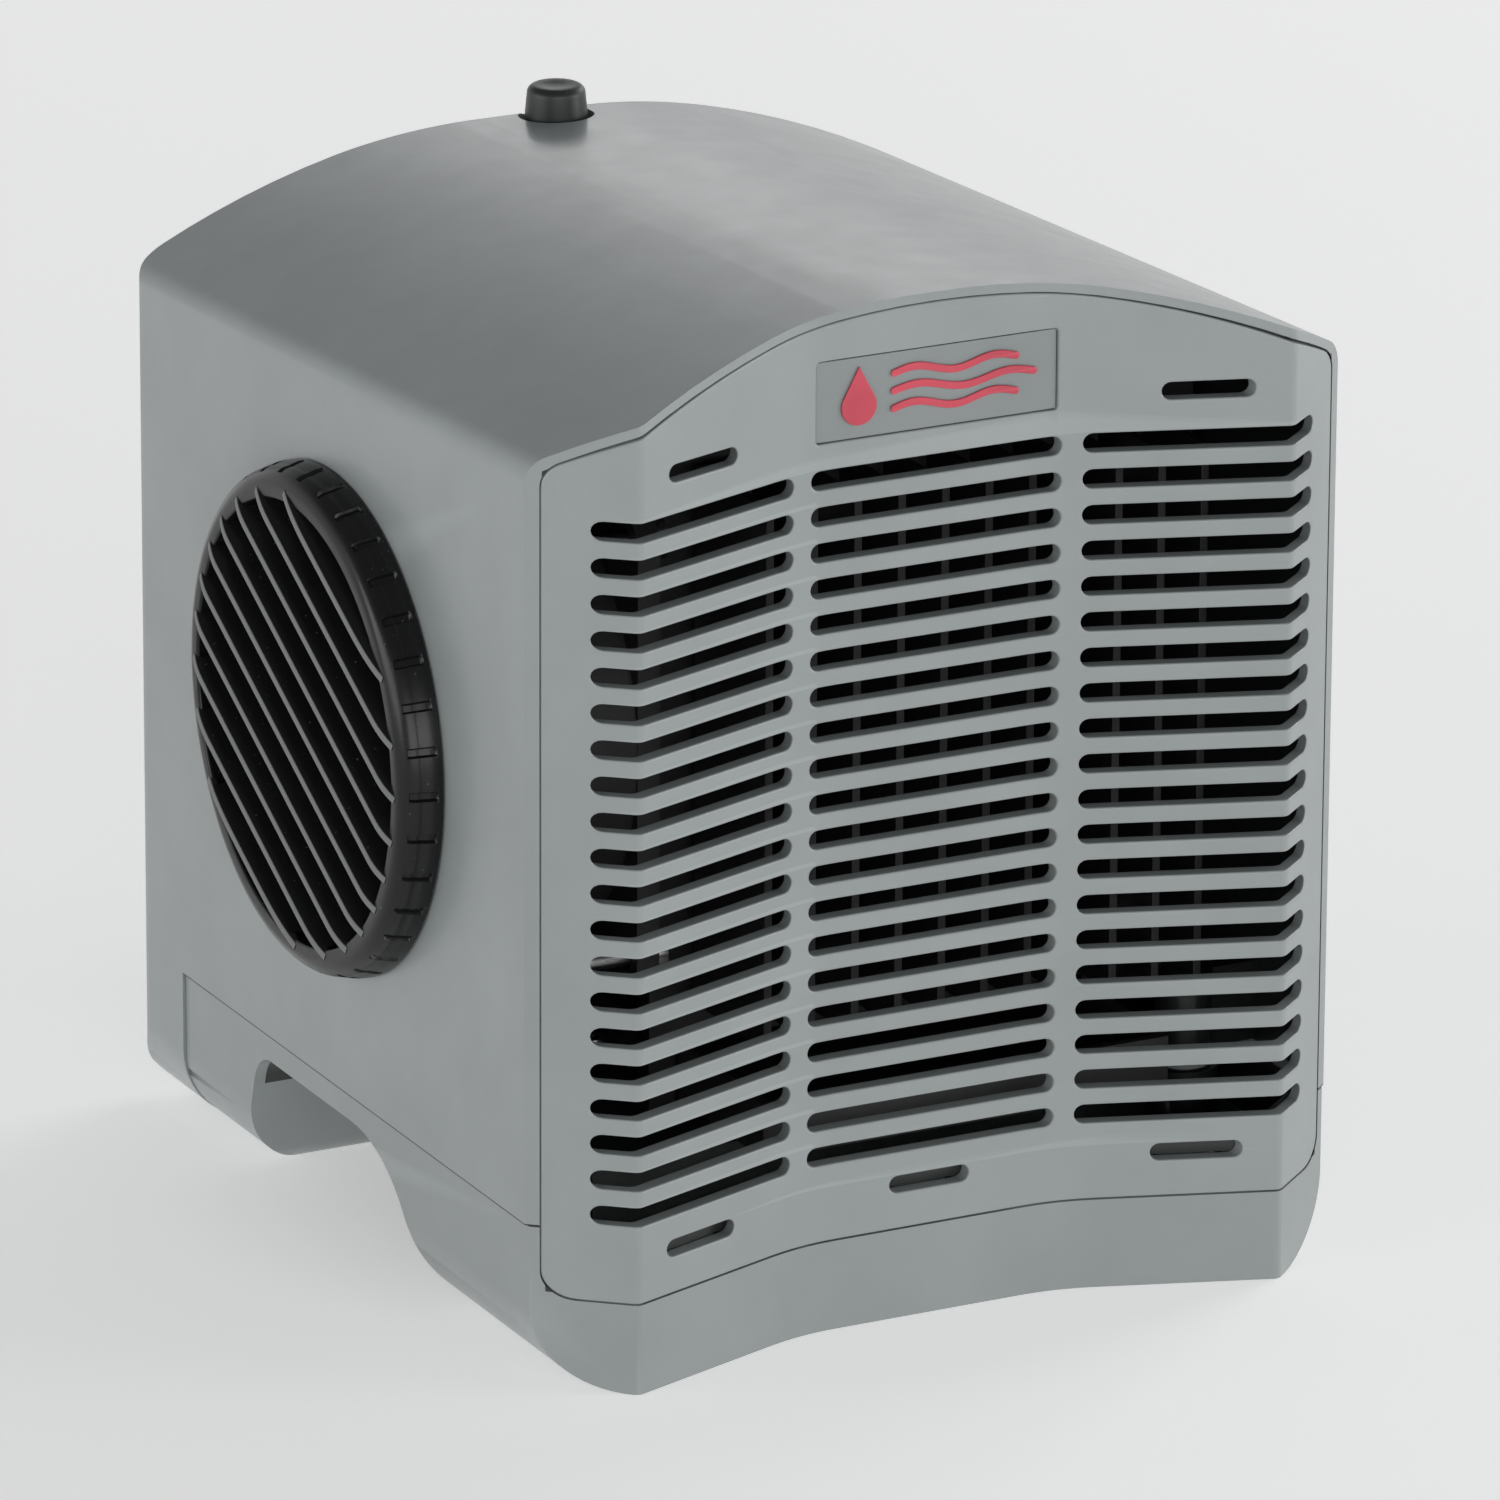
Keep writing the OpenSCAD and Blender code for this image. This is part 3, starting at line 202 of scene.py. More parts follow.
def ramp(tree, node, value, low, high, out_low, out_high):
    made = node("ShaderNodeMapRange")
    made.inputs["From Min"].default_value = low
    made.inputs["From Max"].default_value = high
    made.inputs["To Min"].default_value = out_low
    made.inputs["To Max"].default_value = out_high
    tree.links.new(value, made.inputs["Value"])
    return made.outputs["Result"]


def tint(tree, node, value, dark, light):
    made = node("ShaderNodeMix", data_type="RGBA")
    made.inputs["A"].default_value = (*dark, 1)
    made.inputs["B"].default_value = (*light, 1)
    tree.links.new(value, made.inputs["Factor"])
    return made.outputs["Result"]


def bump(tree, node, bsdf, height, distance, strength, below=None):
    """Adds a bump, on top of another one if below is given."""
    made = node("ShaderNodeBump")
    made.inputs["Distance"].default_value = distance
    made.inputs["Strength"].default_value = strength
    tree.links.new(height, made.inputs["Height"])
    if below is not None:
        tree.links.new(below, made.inputs["Normal"])
    tree.links.new(made.outputs["Normal"], bsdf.inputs["Normal"])
    return made.outputs["Normal"]


def moulded(name, colour, rough, grain=0.00001, spread=0.035, coat=0.0):
    """Satin moulded plastic: fine spark grain, slow waviness, cloudy gloss, pale worn edges."""
    mat, tree, bsdf, node = shader(name)
    where = coordinates(tree, node)
    cloud = noise(tree, node, where, 60, 5)
    speck = noise(tree, node, where, 900, 2)
    dark = tuple(c * (1 - spread) for c in colour)
    light = tuple(min(1, c * (1 + spread)) for c in colour)
    base = tint(tree, node, ramp(tree, node, cloud, 0.35, 0.65, 0, 1), dark, light)
    worn = node("ShaderNodeNewGeometry").outputs["Pointiness"]
    edge = ramp(tree, node, worn, 0.56, 0.68, 0, 0.35)
    paler = node("ShaderNodeMix", data_type="RGBA")
    paler.inputs["B"].default_value = (*[min(1, c * 1.35 + 0.02) for c in colour], 1)
    tree.links.new(edge, paler.inputs["Factor"])
    tree.links.new(base, paler.inputs["A"])
    tree.links.new(paler.outputs["Result"], bsdf.inputs["Base Color"])
    tree.links.new(
        ramp(tree, node, noise(tree, node, where, 160, 4), 0.3, 0.7, rough - 0.02, rough + 0.04),
        bsdf.inputs["Roughness"],
    )
    wave = bump(tree, node, bsdf, noise(tree, node, where, 26, 2), 0.00012, 0.12)
    bump(tree, node, bsdf, speck, grain, 0.8, wave)
    bsdf.inputs["Specular IOR Level"].default_value = 0.5
    bsdf.inputs["Coat Weight"].default_value = coat
    bsdf.inputs["Coat Roughness"].default_value = 0.18
    return mat


def maths(tree, operation, a, b=0.0):
    """One maths node: each of a and b is a number or an output."""
    made = tree.nodes.new("ShaderNodeMath")
    made.operation = operation
    for socket, value in zip(made.inputs, (a, b)):
        if isinstance(value, float):
            socket.default_value = value
        else:
            tree.links.new(value, socket)
    return made.outputs["Value"]


def darken(mat, tests, colour):
    """Darkens the places that pass every (value, side, limit) test, as painted shade.

    The values are X, Y and Z in the CAD's frame, across (distance from the middle plane) and
    radius (distance from the roof arch's axis, with the roof's fall taken out).
    """
    tree = mat.node_tree
    bsdf = tree.nodes["Principled BSDF"]
    place = tree.nodes.new("ShaderNodeSeparateXYZ")
    tree.links.new(tree.nodes.new("ShaderNodeTexCoord").outputs["Object"], place.inputs[0])
    fall = maths(tree, "MULTIPLY",
                 maths(tree, "SUBTRACT", place.outputs["Y"], SIDE_Y + MID_BACK),
                 math.tan(ROOF_FALL))
    rise = maths(tree, "SUBTRACT", maths(tree, "ADD", place.outputs["Z"], fall), ARCH_Z)
    aside = maths(tree, "SUBTRACT", place.outputs["X"], MID_X)
    squares = maths(tree, "ADD", maths(tree, "MULTIPLY", aside, aside),
                    maths(tree, "MULTIPLY", rise, rise))
    values = {
        "X": place.outputs["X"], "Y": place.outputs["Y"], "Z": place.outputs["Z"],
        "across": maths(tree, "ABSOLUTE", aside), "radius": maths(tree, "SQRT", squares),
    }
    chosen = None
    for value, side, limit in tests:
        found = maths(tree, side, values[value], limit)
        chosen = found if chosen is None else maths(tree, "MULTIPLY", chosen, found)
    mix = tree.nodes.new("ShaderNodeMix")
    mix.data_type = "RGBA"
    tree.links.new(chosen, mix.inputs["Factor"])
    tree.links.new(bsdf.inputs["Base Color"].links[0].from_socket, mix.inputs["A"])
    mix.inputs["B"].default_value = (*colour, 1)
    tree.links.new(mix.outputs["Result"], bsdf.inputs["Base Color"])
    return mat


def gloss_black(name, colour, rough, dust=0.5):
    """Gloss moulded plastic with dust specks and faint flow marks."""
    mat, tree, bsdf, node = shader(name)
    where = coordinates(tree, node)
    speck = noise(tree, node, where, 1400, 2)
    dusty = ramp(tree, node, speck, 0.70, 0.78, 0, dust)
    base = tint(tree, node, dusty, colour, tuple(c + 0.12 for c in colour))
    tree.links.new(base, bsdf.inputs["Base Color"])
    patch = noise(tree, node, where, 70, 4)
    tree.links.new(ramp(tree, node, patch, 0.35, 0.7, rough, rough + 0.16),
                   bsdf.inputs["Roughness"])
    wave = bump(tree, node, bsdf, noise(tree, node, where, 45, 3), 0.00015, 0.4)
    bump(tree, node, bsdf, noise(tree, node, where, 700, 2), 0.000008, 0.6, wave)
    bsdf.inputs["Specular IOR Level"].default_value = 0.5
    return mat


def louvre_plastic(name):
    """Gloss black, with the vanes' front edges that face -X painted a matt grey as painted sheen
    of reflected light.
    """
    ahead_by = 0.04 * MM
    mat = gloss_black(name, (0.008, 0.008, 0.0085), 0.16)
    tree = mat.node_tree
    bsdf = tree.nodes["Principled BSDF"]
    bsdf.inputs["Specular IOR Level"].default_value = 0.3

    def node(kind):
        return tree.nodes.new(kind)

    def part(socket, axis):
        split = node("ShaderNodeSeparateXYZ")
        tree.links.new(socket, split.inputs[0])
        return split.outputs[axis]

    def sheen_over(target, value):
        mix = node("ShaderNodeMix")
        mix.data_type = "RGBA" if target == "Base Color" else "FLOAT"
        # Sockets by number, since the colour and the float ones share their names
        a, b, out = (6, 7, 2) if target == "Base Color" else (2, 3, 0)
        source = bsdf.inputs[target].links[0].from_socket
        tree.links.new(sheen_mask, mix.inputs["Factor"])
        tree.links.new(source, mix.inputs[a])
        mix.inputs[b].default_value = value
        tree.links.new(mix.outputs[out], bsdf.inputs[target])

    facing = node("ShaderNodeMapRange")
    facing.inputs["From Min"].default_value = -0.6
    facing.inputs["From Max"].default_value = -0.95
    tree.links.new(part(node("ShaderNodeNewGeometry").outputs["Normal"], "X"),
                   facing.inputs["Value"])
    ahead = maths(tree, "LESS_THAN", part(node("ShaderNodeTexCoord").outputs["Object"], "X"),
                  HOOD_LO[0] - RIM_OUT - ahead_by)
    sheen_mask = maths(tree, "MULTIPLY", facing.outputs["Result"], ahead)
    # Painted sheen: a lighter grey, with higher roughness, on the vane faces that look towards -X
    # ahead of the rim
    sheen_over("Base Color", (0.16, 0.165, 0.165, 1))
    sheen_over("Roughness", 0.5)
    return mat


def metal(name, colour, rough):
    """Bare or plated metal with drawn scratches and slight staining."""
    mat, tree, bsdf, node = shader(name)
    where = coordinates(tree, node)
    mapping = node("ShaderNodeMapping")
    mapping.inputs["Scale"].default_value = (1, 1, 12)
    tree.links.new(where, mapping.inputs["Vector"])
    lines = noise(tree, node, mapping.outputs["Vector"], 220, 3)
    stain = noise(tree, node, where, 60, 3)
    base = tint(tree, node, ramp(tree, node, stain, 0.3, 0.7, 0, 1),
                tuple(c * 0.86 for c in colour), colour)
    tree.links.new(base, bsdf.inputs["Base Color"])
    tree.links.new(ramp(tree, node, lines, 0.3, 0.7, rough - 0.06, rough + 0.1),
                   bsdf.inputs["Roughness"])
    bump(tree, node, bsdf, lines, 0.00001, 0.5)
    bsdf.inputs["Metallic"].default_value = 1.0
    return mat


def rubber(name, colour, rough=0.75):
    """Closed-cell rubber or foam: matt with small pores."""
    mat, tree, bsdf, node = shader(name)
    where = coordinates(tree, node)
    pores = node("ShaderNodeTexVoronoi")
    pores.inputs["Scale"].default_value = 1100
    tree.links.new(where, pores.inputs["Vector"])
    cloud = noise(tree, node, where, 90, 3)
    base = tint(tree, node, cloud, tuple(c * 0.8 for c in colour), tuple(c * 1.2 for c in colour))
    tree.links.new(base, bsdf.inputs["Base Color"])
    tree.links.new(ramp(tree, node, cloud, 0.3, 0.7, rough - 0.08, rough + 0.08),
                   bsdf.inputs["Roughness"])
    bump(tree, node, bsdf, pores.outputs["Distance"], 0.00004, 0.5)
    return mat


def laminate(name, colour):
    """Circuit board: solder resist over copper tracks."""
    mat, tree, bsdf, node = shader(name)
    where = coordinates(tree, node)
    tracks = node("ShaderNodeTexBrick", offset=0.5)
    tracks.inputs["Scale"].default_value = 260
    tracks.inputs["Mortar Size"].default_value = 0.03
    tree.links.new(where, tracks.inputs["Vector"])
    light = tuple(min(1, c * 1.7 + 0.01) for c in colour)
    base = tint(tree, node, tracks.outputs["Fac"], colour, light)
    tree.links.new(base, bsdf.inputs["Base Color"])
    tree.links.new(ramp(tree, node, noise(tree, node, where, 200, 3), 0.3, 0.7, 0.25, 0.4),
                   bsdf.inputs["Roughness"])
    bump(tree, node, bsdf, tracks.outputs["Fac"], 0.00003, 0.6)
    return mat


def wound(name, colour):
    """Enamelled copper wire in tight turns."""
    mat, tree, bsdf, node = shader(name)
    where = coordinates(tree, node)
    turns = node("ShaderNodeTexWave", wave_type="BANDS", bands_direction="X")
    turns.inputs["Scale"].default_value = 420
    turns.inputs["Distortion"].default_value = 0.6
    tree.links.new(where, turns.inputs["Vector"])
    base = tint(tree, node, turns.outputs["Fac"], tuple(c * 0.45 for c in colour), colour)
    tree.links.new(base, bsdf.inputs["Base Color"])
    tree.links.new(ramp(tree, node, turns.outputs["Fac"], 0, 1, 0.5, 0.28),
                   bsdf.inputs["Roughness"])
    bump(tree, node, bsdf, turns.outputs["Fac"], 0.00008, 0.7)
    bsdf.inputs["Metallic"].default_value = 0.7
    return mat


GREY = (0.262, 0.286, 0.283)
# The room's brightness at the horizon and overhead, and how far it leans to the right
HORIZON = 0.80
OVERHEAD = 0.16
SIDE_LEAN = 0.05
FLOOR_GLOW = 0.36
LIGHTS = (
    # name, place, size, power
    ("right", (2.2, 0.9, 1.1), (1.4, 0.9), 14),
    ("rear_right", (1.5, 2.6, 0.75), (1.8, 0.5), 4),
    ("front", (-0.5, -2.7, 0.35), (2.6, 1.2), 29),
    ("front_right", (2.4, -1.5, 0.35), (1.2, 1.0), 25),
    ("left", (-2.6, 0.1, 0.30), (2.4, 1.2), 24),
)
# Colours of painted shade: the first for the parting gap along the hood's lower edge, the second
# for the unlit insides
SEAM_SHADE = (0.02, 0.022, 0.022)
SHADE = (0.016, 0.018, 0.018)
# The hood's lower edge along the parting line, painted dark as the shade in the gap
SEAM = (
    ("Z", "LESS_THAN", SPLIT_Z + SEAM_HALF),
    ("Z", "GREATER_THAN", SPLIT_Z - SEAM_HALF),
    ("Y", "LESS_THAN", HEEL_Y),
)
# The inside of the hood, which hardly any light reaches through the slots
ROOM = (
    ("across", "LESS_THAN", HALF - 1.9 * MM),
    ("Y", "LESS_THAN", REAR_Y - 12.0 * MM),
    ("Z", "GREATER_THAN", SPLIT_Z + 2.0 * MM),
    ("radius", "LESS_THAN", ARCH_R - 1.6 * MM),
)
# The base's landing behind the panel, seen through the lower snap slots, painted dark as shade
LANDING = (
    ("across", "LESS_THAN", OPENING_HALF - 0.6 * MM),
    ("Z", "GREATER_THAN", PANEL_Z + 1.0 * MM),
)
MATERIALS = {
    "body_plastic": darken(
        darken(moulded("body_plastic", GREY, 0.36, coat=0.25), SEAM, SEAM_SHADE), ROOM, SHADE),
    "base_plastic": darken(
        moulded("base_plastic", tuple(c * 0.98 for c in GREY), 0.38, coat=0.2), LANDING, SHADE),
    "panel_plastic": moulded("panel_plastic", tuple(c * 1.03 for c in GREY), 0.38, coat=0.2),
    "badge_plastic": moulded("badge_plastic", tuple(c * 0.86 for c in GREY), 0.42, 0.00006),
    "mark_paint": moulded("mark_paint", (0.52, 0.055, 0.085), 0.34, 0.00003, 0.12),
    "louvre_plastic": louvre_plastic("louvre_plastic"),
    "button_rubber": gloss_black("button_rubber", (0.018, 0.021, 0.020), 0.38, 0.9),
    "steel": metal("steel", (0.62, 0.62, 0.63), 0.32),
    "black_anodised": moulded("black_anodised", (0.012, 0.012, 0.013), 0.45, 0.00002, 0.15),
    "plain_aluminium": metal("plain_aluminium", (0.78, 0.79, 0.80), 0.3),
    "ceramic": moulded("ceramic", (0.80, 0.80, 0.76), 0.6, 0.00002),
    "seal_rubber": rubber("seal_rubber", (0.022, 0.022, 0.023)),
    "nylon": moulded("nylon", (0.030, 0.031, 0.030), 0.45, 0.00001),
    "board_laminate": laminate("board_laminate", (0.012, 0.075, 0.035)),
    "copper": wound("copper", (0.60, 0.26, 0.10)),
    "capacitor_sleeve": gloss_black("capacitor_sleeve", (0.012, 0.020, 0.075), 0.25, 0.1),
    "terminal_plastic": moulded("terminal_plastic", (0.02, 0.13, 0.07), 0.42),
    "lead_sleeve": gloss_black("lead_sleeve", (0.16, 0.012, 0.012), 0.4, 0.1),
    "black_plastic": moulded("black_plastic", (0.018, 0.018, 0.019), 0.45, 0.00002, 0.1),
}
SLOT_OF = {part["node"]: part["material_slot"] for part in frame["record"]["subparts"]}
BODY_OF = {
    node: body
    for body, nodes in frame["record"]["behaviour"]["bodies"].items()
    for node in nodes
}


def paint(obj, slot):
    """Gives an object one material, in place of any that it has."""
    obj.data.materials.clear()
    obj.data.materials.append(MATERIALS[slot])


# ---- Mesh helpers ----

def finish_piece(name, bm, node, smooth_angle=32):
    """Turns a bmesh into a piece that stands for a CAD node and rides on its body."""
    bmesh.ops.recalc_face_normals(bm, faces=bm.faces)
    mesh = bpy.data.meshes.new(name)
    bm.to_mesh(mesh)
    bm.free()
    mesh.shade_smooth()
    mesh.set_sharp_from_angle(angle=math.radians(smooth_angle))
    obj = bpy.data.objects.new(name, mesh)
    bpy.context.scene.collection.objects.link(obj)
    paint(obj, SLOT_OF[node])
    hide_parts(node)
    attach(obj, BODY_OF[node])
    weighted = obj.modifiers.new("even_shading", "WEIGHTED_NORMAL")
    weighted.keep_sharp = True


def arc(cx, cy, r, a0, a1, n):
    """Points along an arc, angles in degrees."""
    steps = [math.radians(a0 + (a1 - a0) * i / n) for i in range(n + 1)]
    return [(cx + r * math.cos(a), cy + r * math.sin(a)) for a in steps]


def blended_bend(x, at, before, after, width):
    """Height of a line that changes slope at a place, rounded over a width each side."""
    d = abs(x) - at
    if d <= -width:
        return before * d
    if d >= width:
        return after * d
    return before * d + (after - before) * (d + width) ** 2 / (4 * width)


SLOPE_WING = -(MID_BACK + RIDGE_OUT) / (RIDGE_X - MID_HALF)
SLOPE_CHEEK = RIDGE_OUT / CHEEK_W
VALLEY_BLEND = 5.5 * MM
RIDGE_BLEND = 0.7 * MM


def face_y(x, soft=True):
    """Front face of the unit at x, from its middle: a flat middle, two wings and two cheeks."""
    valley = VALLEY_BLEND if soft else 1e-9
    ridge = RIDGE_BLEND if soft else 1e-9
    y = MID_BACK + blended_bend(x, MID_HALF, 0, SLOPE_WING, valley)
    return SIDE_Y + y + blended_bend(x, RIDGE_X, 0, SLOPE_CHEEK - SLOPE_WING, ridge)


def roof_z(x, y):
    """Height of the roof at x, from its middle, and y."""
    fall = (y - SIDE_Y - MID_BACK) * math.tan(ROOF_FALL)
    return ARCH_Z + math.sqrt(ARCH_R * ARCH_R - x * x) - fall


def cut_at(bm, places):
    """Cuts a mesh by planes square to X."""
    for place in places:
        bmesh.ops.bisect_plane(bm, geom=bm.verts[:] + bm.edges[:] + bm.faces[:],
                               plane_co=(place, 0, 0), plane_no=(1, 0, 0), dist=CUT_DIST)


def fold_lines():
    """X places where the front has to bend, so that its rounding shows."""
    lines = []
    for side in (-1, 1):
        for step in (-1, -0.6, -0.25, 0, 0.25, 0.6, 1):
            lines.append(MID_X + side * (MID_HALF + step * VALLEY_BLEND))
        for step in (-1, -0.5, 0, 0.5, 1):
            lines.append(MID_X + side * (RIDGE_X + step * RIDGE_BLEND))
    return lines


# ---- Front panel ----

def panel_outline():
    """Outline of the panel, seen from the front, counter-clockwise."""
    hw = OPENING_HALF - PANEL_GAP
    z0 = PANEL_Z + PANEL_GAP
    r = PANEL_R
    top_r = ARCH_R - RIM_TOP - PANEL_GAP
    cx = hw - r
    cz = ARCH_Z + math.sqrt((top_r - r) ** 2 - cx * cx)
    lean = math.degrees(math.atan2(cz - ARCH_Z, cx))
    points = arc(cx, z0 + r, r, -90, 0, 8)
    points += arc(cx, cz, r, 0, lean, 6)
    points += arc(0, ARCH_Z, top_r, lean, 180 - lean, 72)[1:-1]
    points += arc(-cx, cz, r, 180 - lean, 180, 6)
    points += arc(-cx, z0 + r, r, 180, 270, 8)
    return points


def slot_outline(x0, x1, z, h):
    """Outline of a slot with round ends."""
    r = h / 2
    return arc(x1 - r, z, r, -90, 90, 8) + arc(x0 + r, z, r, 90, 270, 8)


def panel_holes():
    """Outlines of the grille's slots, the snap slots and the badge's window."""
    inner = MID_HALF - 0.8 * MM
    holes = []
    for row in range(SLOT_ROWS):
        z = SLOT_Z0 + row * SLOT_PITCH
        holes.append(slot_outline(-inner, inner, z, SLOT_H))
        a, b = inner + BAR_W, RIDGE_X + SLOT_WRAP
        holes.append(slot_outline(a, b, z, SLOT_H))
        holes.append(slot_outline(-b, -a, z, SLOT_H))
    snaps = [(-SNAP_X, SNAP_TOP_Z), (SNAP_X, SNAP_TOP_Z)]
    snaps += [(x, SNAP_LOW_Z) for x in (-SNAP_X, 0, SNAP_X)]
    for x, z in snaps:
        holes.append(slot_outline(x - SNAP_L / 2, x + SNAP_L / 2, z, SNAP_H))
    x0, x1 = BADGE_LO[0] - MID_X - BADGE_FIT, BADGE_HI[0] - MID_X + BADGE_FIT
    z0, z1 = BADGE_LO[2] - BADGE_FIT, BADGE_HI[2] + BADGE_FIT
    r = BADGE_CORNER
    holes.append(
        arc(x1 - r, z0 + r, r, -90, 0, 3) + arc(x1 - r, z1 - r, r, 0, 90, 3)
        + arc(x0 + r, z1 - r, r, 90, 180, 3) + arc(x0 + r, z0 + r, r, 180, 270, 3)
    )
    return holes


def plate_with_holes(outline, holes, thickness, edge):
    """A flat plate with rounded edges in the X-Z plane, its front at y = 0."""
    curve = bpy.data.curves.new("plate", "CURVE")
    curve.dimensions = "2D"
    curve.fill_mode = "BOTH"
    curve.extrude = thickness / 2 - edge
    curve.bevel_depth = edge
    curve.bevel_resolution = 3
    curve.offset = -edge
    for points in [outline] + holes:
        spline = curve.splines.new("POLY")
        spline.points.add(len(points) - 1)
        for point, (x, z) in zip(spline.points, points):
            point.co = (x, z, 0, 1)
        spline.use_cyclic_u = True
    maker = bpy.data.objects.new("plate", curve)
    bpy.context.scene.collection.objects.link(maker)
    made = maker.evaluated_get(bpy.context.evaluated_depsgraph_get())
    mesh = bpy.data.meshes.new_from_object(made)
    bm = bmesh.new()
    bm.from_mesh(mesh)
    bpy.data.objects.remove(maker)
    bpy.data.curves.remove(curve)
    bpy.data.meshes.remove(mesh)
    bmesh.ops.remove_doubles(bm, verts=bm.verts, dist=CUT_DIST)
    for v in bm.verts:
        x, z, depth = v.co
        v.co = (x + MID_X, thickness / 2 - depth, z)
    return bm


def front_panel():
    """The flat plate folded along the front, its top edge following the falling roof."""
    fade = 5 * MM
    bm = plate_with_holes(panel_outline(), panel_holes(), PANEL_T, PANEL_EDGE)
    cut_at(bm, fold_lines())
    for v in bm.verts:
        lean = math.tan(ROOF_FALL) * (face_y(v.co.x - MID_X) - SIDE_Y - MID_BACK)
        share = max(0, (v.co.z - SNAP_TOP_Z + fade) / (CROWN_Z - SNAP_TOP_Z + fade))
        v.co.y += face_y(v.co.x - MID_X)
        v.co.z -= lean * min(1, share)
    add_hooks(bm)
    finish_piece("front_panel_skin", bm, "front_panel", 25)


def add_hooks(bm):
    """The barbed fingers behind the snap slots."""
    width, thick, barb = 8.0 * MM, 1.2 * MM, 1.1 * MM
    gap, root, tip = 0.2 * MM, 0.4 * MM, 1.6 * MM
    low_reach, top_reach = 5.0 * MM, 5.2 * MM
    rise = SNAP_H / 2 + thick / 2 + gap
    places = [(x, SNAP_LOW_Z - rise, -1, low_reach) for x in (-SNAP_X, 0, SNAP_X)]
    places += [(x, SNAP_TOP_Z + rise, 1, top_reach) for x in (-SNAP_X, SNAP_X)]
    for x, z, up, reach in places:
        y0 = face_y(x) + PANEL_T - root
        y1 = face_y(x) + PANEL_T + reach
        side = [
            (y0, z - up * thick / 2), (y1 + tip, z - up * thick / 2),
            (y1 + tip, z + up * gap), (y1, z + up * (thick / 2 + barb)),
            (y1, z + up * thick / 2), (y0, z + up * thick / 2),
        ]
        left = [bm.verts.new((MID_X + x - width / 2, y, zz)) for y, zz in side]
        right = [bm.verts.new((MID_X + x + width / 2, y, zz)) for y, zz in side]
        bm.faces.new(left)
        bm.faces.new(right[::-1])
        for i in range(len(side)):
            j = (i + 1) % len(side)
            bm.faces.new((left[i], right[i], right[j], left[j]))


# ---- Shells carried over from the CAD, with true edge roundings ----

def copy_of(node):
    """A CAD node's mesh, with its facets joined."""
    bm = bmesh.new()
    bm.from_mesh(frame["nodes"][node].data)
    bmesh.ops.remove_doubles(bm, verts=bm.verts, dist=WELD_DIST)
    bmesh.ops.dissolve_limit(bm, angle_limit=math.radians(0.5), verts=bm.verts, edges=bm.edges)
    return bm


def soften_front(bm, depth):
    """Rounds the valleys of the front faces, fading out behind them."""
    fade = 4 * MM
    cut_at(bm, fold_lines())
    for v in bm.verts:
        x = v.co.x - MID_X
        if abs(x) > HALF:
            continue
        behind = v.co.y - face_y(x, False)
        share = min(1, max(0, 1 - (behind - depth) / fade))
        v.co.y += (face_y(x) - face_y(x, False)) * share


def round_edges(bm, width, chosen):
    """Bevels the sharp edges that a test picks."""
    sharp = math.radians(28)
    edges = []
    for e in bm.edges:
        if len(e.link_faces) != 2:
            continue
        if e.calc_face_angle(0) < sharp:
            continue
        if chosen((e.verts[0].co + e.verts[1].co) / 2):
            edges.append(e)
    bmesh.ops.bevel(bm, geom=edges, offset=width, offset_type="OFFSET", segments=2,
                    profile=0.5, affect="EDGES", clamp_overlap=True, loop_slide=True)


def near_skin(p):
    """Whether a point lies on the outside of the housing."""
    x = p.x - MID_X
    if abs(x) > HALF - 0.9 * MM or p.y > REAR_Y - 0.5 * MM or p.z < 0.5 * MM:
        return True
    if p.y < face_y(x, False) + 0.5 * MM:
        return True
    return p.z > roof_z(x, p.y) - 1.0 * MM


def off_heel(p):
    """As near_skin, but leaves the heel's tight vertical joint unrounded."""
    at_joint = abs(p.y - HEEL_Y) < 0.8 * MM and p.z > 1.5 * MM
    return near_skin(p) and not at_joint


def hood():
    bm = copy_of("hood")
    soften_front(bm, 4 * MM)
    round_edges(bm, SHELL_EDGE, off_heel)
    finish_piece("hood_shell", bm, "hood")


def base():
    bm = copy_of("base")
    soften_front(bm, 6 * MM)
    round_edges(bm, SHELL_EDGE, off_heel)
    finish_piece("base_shell", bm, "base")


# ---- Badge ----

def badge():
    """The badge's plate."""
    thick = BADGE_HI[1] - BADGE_LO[1]
    x0, x1 = BADGE_LO[0] - MID_X, BADGE_HI[0] - MID_X
    bm = plate_with_holes([(x0, BADGE_LO[2]), (x1, BADGE_LO[2]), (x1, BADGE_HI[2]),
                           (x0, BADGE_HI[2])], [], thick, BADGE_EDGE)
    for v in bm.verts:
        v.co.y += BADGE_LO[1]
    finish_piece("badge_plate_skin", bm, "badge_plate")


def badge_mark():
    """The badge's relief: a generic drop with three streams of air."""
    lo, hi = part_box("badge_mark")
    height = hi[2] - lo[2]
    depth = hi[1] - lo[1]
    drop_r = height / 3.1
    cx, cz = lo[0] + drop_r - MID_X, lo[2] + drop_r
    tip = hi[2]
    touch = math.degrees(math.acos(drop_r / (tip - cz)))
    drop = [(cx, tip)] + arc(cx, cz, drop_r, 90 + touch, 450 - touch, 40)
    outlines = [drop]
    x0 = cx + drop_r * 2
    for i in (-1, 0, 1):
        x1 = hi[0] - MID_X - abs(i) * height * 0.33
        outlines.append(stream(x0, x1, (lo[2] + hi[2]) / 2 + i * height * 0.3, height * 0.13))
    whole = bmesh.new()
    for outline in outlines:
        bm = plate_with_holes(outline, [], depth, MARK_EDGE)
        for v in bm.verts:
            v.co.y += lo[1]
        part = bpy.data.meshes.new("part")
        bm.to_mesh(part)
        bm.free()
        whole.from_mesh(part)
        bpy.data.meshes.remove(part)
    finish_piece("badge_mark_relief", whole, "badge_mark")


